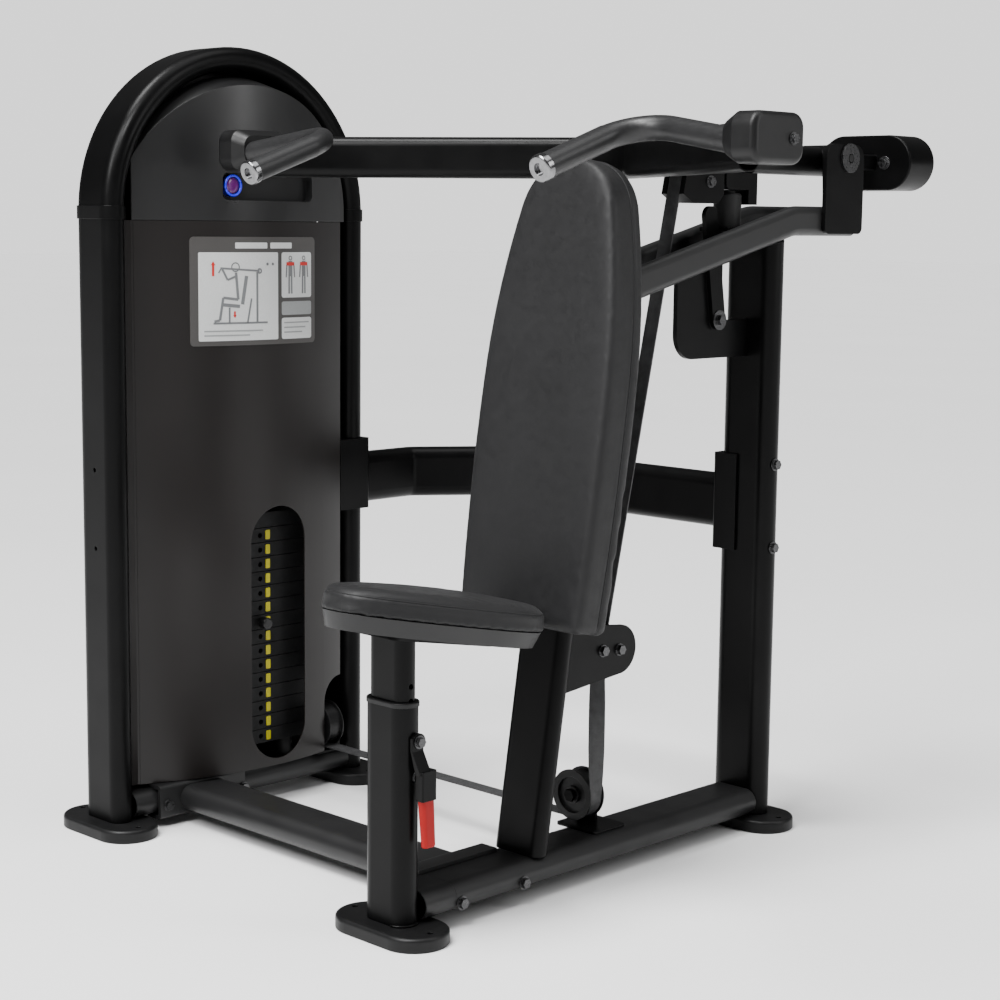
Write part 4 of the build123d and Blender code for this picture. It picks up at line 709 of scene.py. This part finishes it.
def draw_placard():
    """Plain white panels, an exercise drawing with a plain pictogram, and bars in place of lettering."""
    sheet = Sheet("instruction_placard", "frame")
    film, ink, red, grey = (bmesh.new() for _ in range(4))
    sheet.panel(film, 17, 10, 204, 190, 3, FILM_LIFT)
    sheet.panel(film, 214, 96, 300, 190, 5, FILM_LIFT)
    sheet.panel(film, 214, 10, 300, 54, 5, FILM_LIFT)
    for u0, u1 in ((98, 176), (184, 242)):
        sheet.panel(film, u0, 198, u1, 210, 2, FILM_LIFT)
    sheet.panel(grey, 214, 60, 300, 88, 4, FILM_LIFT)
    # side view of the machine: base, tower, post, seat, back pad and arm
    sheet.line(ink, [(48, 46), (176, 46)], 4.0, INK_LIFT)
    sheet.line(ink, [(150, 46), (150, 150)], 5.0, INK_LIFT)
    sheet.line(ink, [(126, 46), (136, 96)], 4.0, INK_LIFT)
    sheet.line(ink, [(84, 46), (84, 78)], 4.0, INK_LIFT)
    sheet.line(ink, [(66, 84), (108, 80)], 7.0, INK_LIFT)
    sheet.line(ink, [(114, 84), (124, 142)], 8.0, INK_LIFT)
    sheet.line(ink, [(64, 158), (156, 152)], 4.0, INK_LIFT)
    sheet.line(ink, [(60, 148), (66, 158)], 3.0, INK_LIFT)
    sheet.disc(ink, 156, 152, 6, INK_LIFT, inner=2.5)
    # seated pictogram
    sheet.disc(ink, 98, 160, 10, TOP_LIFT, inner=7.5)
    sheet.line(ink, [(99, 149), (104, 94)], 6.0, TOP_LIFT)
    sheet.line(ink, [(104, 94), (70, 98), (62, 52)], 5.5, TOP_LIFT)
    sheet.line(ink, [(62, 52), (50, 50)], 5.0, TOP_LIFT)
    sheet.line(ink, [(100, 142), (80, 134), (68, 156)], 4.5, TOP_LIFT)
    sheet.arrow(red, 48, 142, 172, 5.0, TOP_LIFT)
    sheet.arrow(red, 96, 70, 56, 4.0, TOP_LIFT)
    # plain bars instead of captions
    for row, length in enumerate((136, 104)):
        sheet.line(grey, [(28, 30 - row * 9), (28 + length, 30 - row * 9)], 3.0, INK_LIFT)
    for row in range(3):
        sheet.line(grey, [(220, 44 - row * 10), (292 - 10 * row, 44 - row * 10)], 3.0, INK_LIFT)
    for u, v in ((176, 166), (190, 166)):
        sheet.disc(ink, u, v, 3.0, INK_LIFT)
    # two standing pictograms with marked shoulders
    for u in (238, 277):
        sheet.disc(ink, u, 178, 5.0, INK_LIFT, inner=2.8)
        sheet.line(ink, [(u, 172), (u, 140)], 11.0, INK_LIFT)
        sheet.line(red, [(u - 11, 166), (u + 11, 166)], 7.0, TOP_LIFT)
        for side in (-1, 1):
            sheet.line(ink, [(u + side * 10, 164), (u + side * 12, 138)], 3.4, INK_LIFT)
            sheet.line(ink, [(u + side * 3.4, 140), (u + side * 3.8, 104)], 4.2, INK_LIFT)
    pieces = (("placard_film", film, WHITE_FILM), ("placard_ink", ink, INK),
              ("placard_red", red, RED_INK), ("placard_grey", grey, GREY_FILM))
    for name, bm, material in pieces:
        thicken(add_piece(name, bm, material, "frame", smooth=False), 0.0002)


draw_placard()

# ---------------------------------------------------------------- counter display


def make_display():
    """Blue rim with a faint painted glow, and dark magenta lens on the small round counter."""
    low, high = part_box("counter_display")
    centre = Vector((high.x, (low.y + high.y) / 2, (low.z + high.z) / 2))
    radius = (high.y - low.y) / 2
    rim = Finish("display_rim_painted_glow", (0.010, 0.010, 0.62), 0.25, level=0.5, coat=0.2)
    # the rim's faint blue emission is a painted glow: the rim is no lamp
    rim.shader.inputs["Emission Color"].default_value = (0.01, 0.01, 0.8, 1)
    rim.shader.inputs["Emission Strength"].default_value = 0.25
    lens = Finish("display_lens", (0.10, 0.006, 0.12), 0.15, level=0.5, coat=0.4)
    bm = bmesh.new()
    turns = [2 * math.pi * i / 48 for i in range(48)]
    ring = radius - 0.003
    circle = [centre + Vector((-0.0006, math.cos(t) * ring, math.sin(t) * ring)) for t in turns]
    tube_ring(bm, circle, 0.0024, sides=12)
    speckle = {"patch": 60.0, "depth": 0.00001, "edge": 0.0}
    add_piece("display_rim_painted_glow", bm, rim.grained(**speckle), "frame")
    bm = bmesh.new()
    dome = ((-0.0036, radius * 0.72), (-0.0024, radius * 0.68), (-0.0016, radius * 0.4), (-0.0013, 0.001))
    lathe(bm, centre, Vector((1, 0, 0)), dome)
    add_piece("display_lens", bm, lens.grained(**speckle), "frame")


make_display()

# ---------------------------------------------------------------- small inserts


def insert(name, node, body, offset, radius, depth, finish):
    """Six-sided plug on the +X end of a node."""
    low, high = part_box(node)
    centre = Vector((high.x, (low.y + high.y) / 2, (low.z + high.z) / 2)) + Vector(offset)
    bm = bmesh.new()
    profile = ((-depth, radius), (0.0, radius), (depth * 0.4, radius * 0.85), (depth * 0.5, radius * 0.4))
    lathe(bm, centre, Vector((1, 0, 0)), profile, sides=6)
    add_piece(name, bm, FINISHES[finish], body, smooth=False)


insert("pivot_socket", "pivot_axle", "frame", (0, 0, 0), 0.0085, 0.0008, "rubber_black")

# ---------------------------------------------------------------- weld beads
WELD_STEP = 0.0035
WELD_RISE = 0.002


def weld(name, node, body, point, normal, radius=0.0028):
    """Rippled bead round a node, where the plane through the point cuts it."""
    loop = section_loop(NODES[node].data, Vector(point), Vector(normal))
    length = sum((b - a).length for a, b in zip(loop, loop[1:] + loop[:1]))
    bm = bmesh.new()
    points = even_loop(loop, max(24, int(length / WELD_STEP)))
    tube_ring(bm, points, radius, sides=8, ripple=0.12, squeeze=0.8)
    add_piece(name, bm, FINISHES["frame_paint"], body)


def make_welds():
    foot_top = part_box("feet")[1].z
    weld("weld_upright_foot", "rear_upright", "frame", (0, 0, foot_top + WELD_RISE), (0, 0, 1))
    weld("weld_seat_post_foot", "seat_post_outer", "frame", (0, 0, foot_top + WELD_RISE), (0, 0, 1))


make_welds()

# ---------------------------------------------------------------- studio
BACKDROP_STRENGTH = 1.5
SURROUND_STRENGTH = 0.12


def make_floor():
    """Large flat pale floor sheet."""
    bm = bmesh.new()
    bmesh.ops.create_grid(bm, x_segments=24, y_segments=24, size=60.0)
    piece = add_piece("studio_floor", bm, floor_paper(), None)


def sun(name, azimuth, elevation, strength, spread):
    """Soft distant light from a compass direction, measured like the views."""
    data = bpy.data.lights.new(name, "SUN")
    data.energy = strength
    data.angle = math.radians(spread)
    lamp = bpy.data.objects.new(name, data)
    a, e = math.radians(azimuth), math.radians(elevation)
    towards = Vector((math.sin(a) * math.cos(e), -math.cos(a) * math.cos(e), math.sin(e)))
    lamp.rotation_euler = towards.to_track_quat("Z", "Y").to_euler()
    bpy.context.scene.collection.objects.link(lamp)


def softbox(name, at, target, size, power):
    """Rectangular area light aimed at a point."""
    data = bpy.data.lights.new(name, "AREA")
    data.shape = "RECTANGLE"
    data.size, data.size_y = size
    data.energy = power
    lamp = bpy.data.objects.new(name, data)
    lamp.location = at
    lamp.rotation_euler = (Vector(at) - Vector(target)).to_track_quat("Z", "Y").to_euler()
    bpy.context.scene.collection.objects.link(lamp)


def make_world():
    """Dim studio surround with a pale backdrop."""
    world = bpy.data.worlds.new("studio")
    world.use_nodes = True
    nodes, links = world.node_tree.nodes, world.node_tree.links
    surround = nodes["Background"]
    surround.inputs["Color"].default_value = (1, 1, 1, 1)
    surround.inputs["Strength"].default_value = SURROUND_STRENGTH
    backdrop = nodes.new("ShaderNodeBackground")
    backdrop.inputs["Color"].default_value = (1, 1, 1, 1)
    backdrop.inputs["Strength"].default_value = BACKDROP_STRENGTH
    seen = nodes.new("ShaderNodeLightPath")
    mix = nodes.new("ShaderNodeMixShader")
    links.new(seen.outputs["Is Camera Ray"], mix.inputs["Fac"])
    links.new(surround.outputs["Background"], mix.inputs[1])
    links.new(backdrop.outputs["Background"], mix.inputs[2])
    links.new(mix.outputs["Shader"], nodes["World Output"].inputs["Surface"])
    bpy.context.scene.world = world


make_floor()
make_world()
sun("key_sun", -20, 72, 4.4, 24)
sun("fill_sun", 130, 70, 1.0, 40)
softbox("key_box", (-0.2, -4.0, 3.4), (-0.5, -0.6, 0.9), (1.2, 2.0), 150)
softbox("cap_box", (0.6, -2.6, 3.6), (-0.8, -0.8, 1.45), (0.8, 0.8), 70)
softbox("rim_box", (3.4, 1.2, 2.6), (0, -0.4, 0.9), (1.2, 2.6), 50)
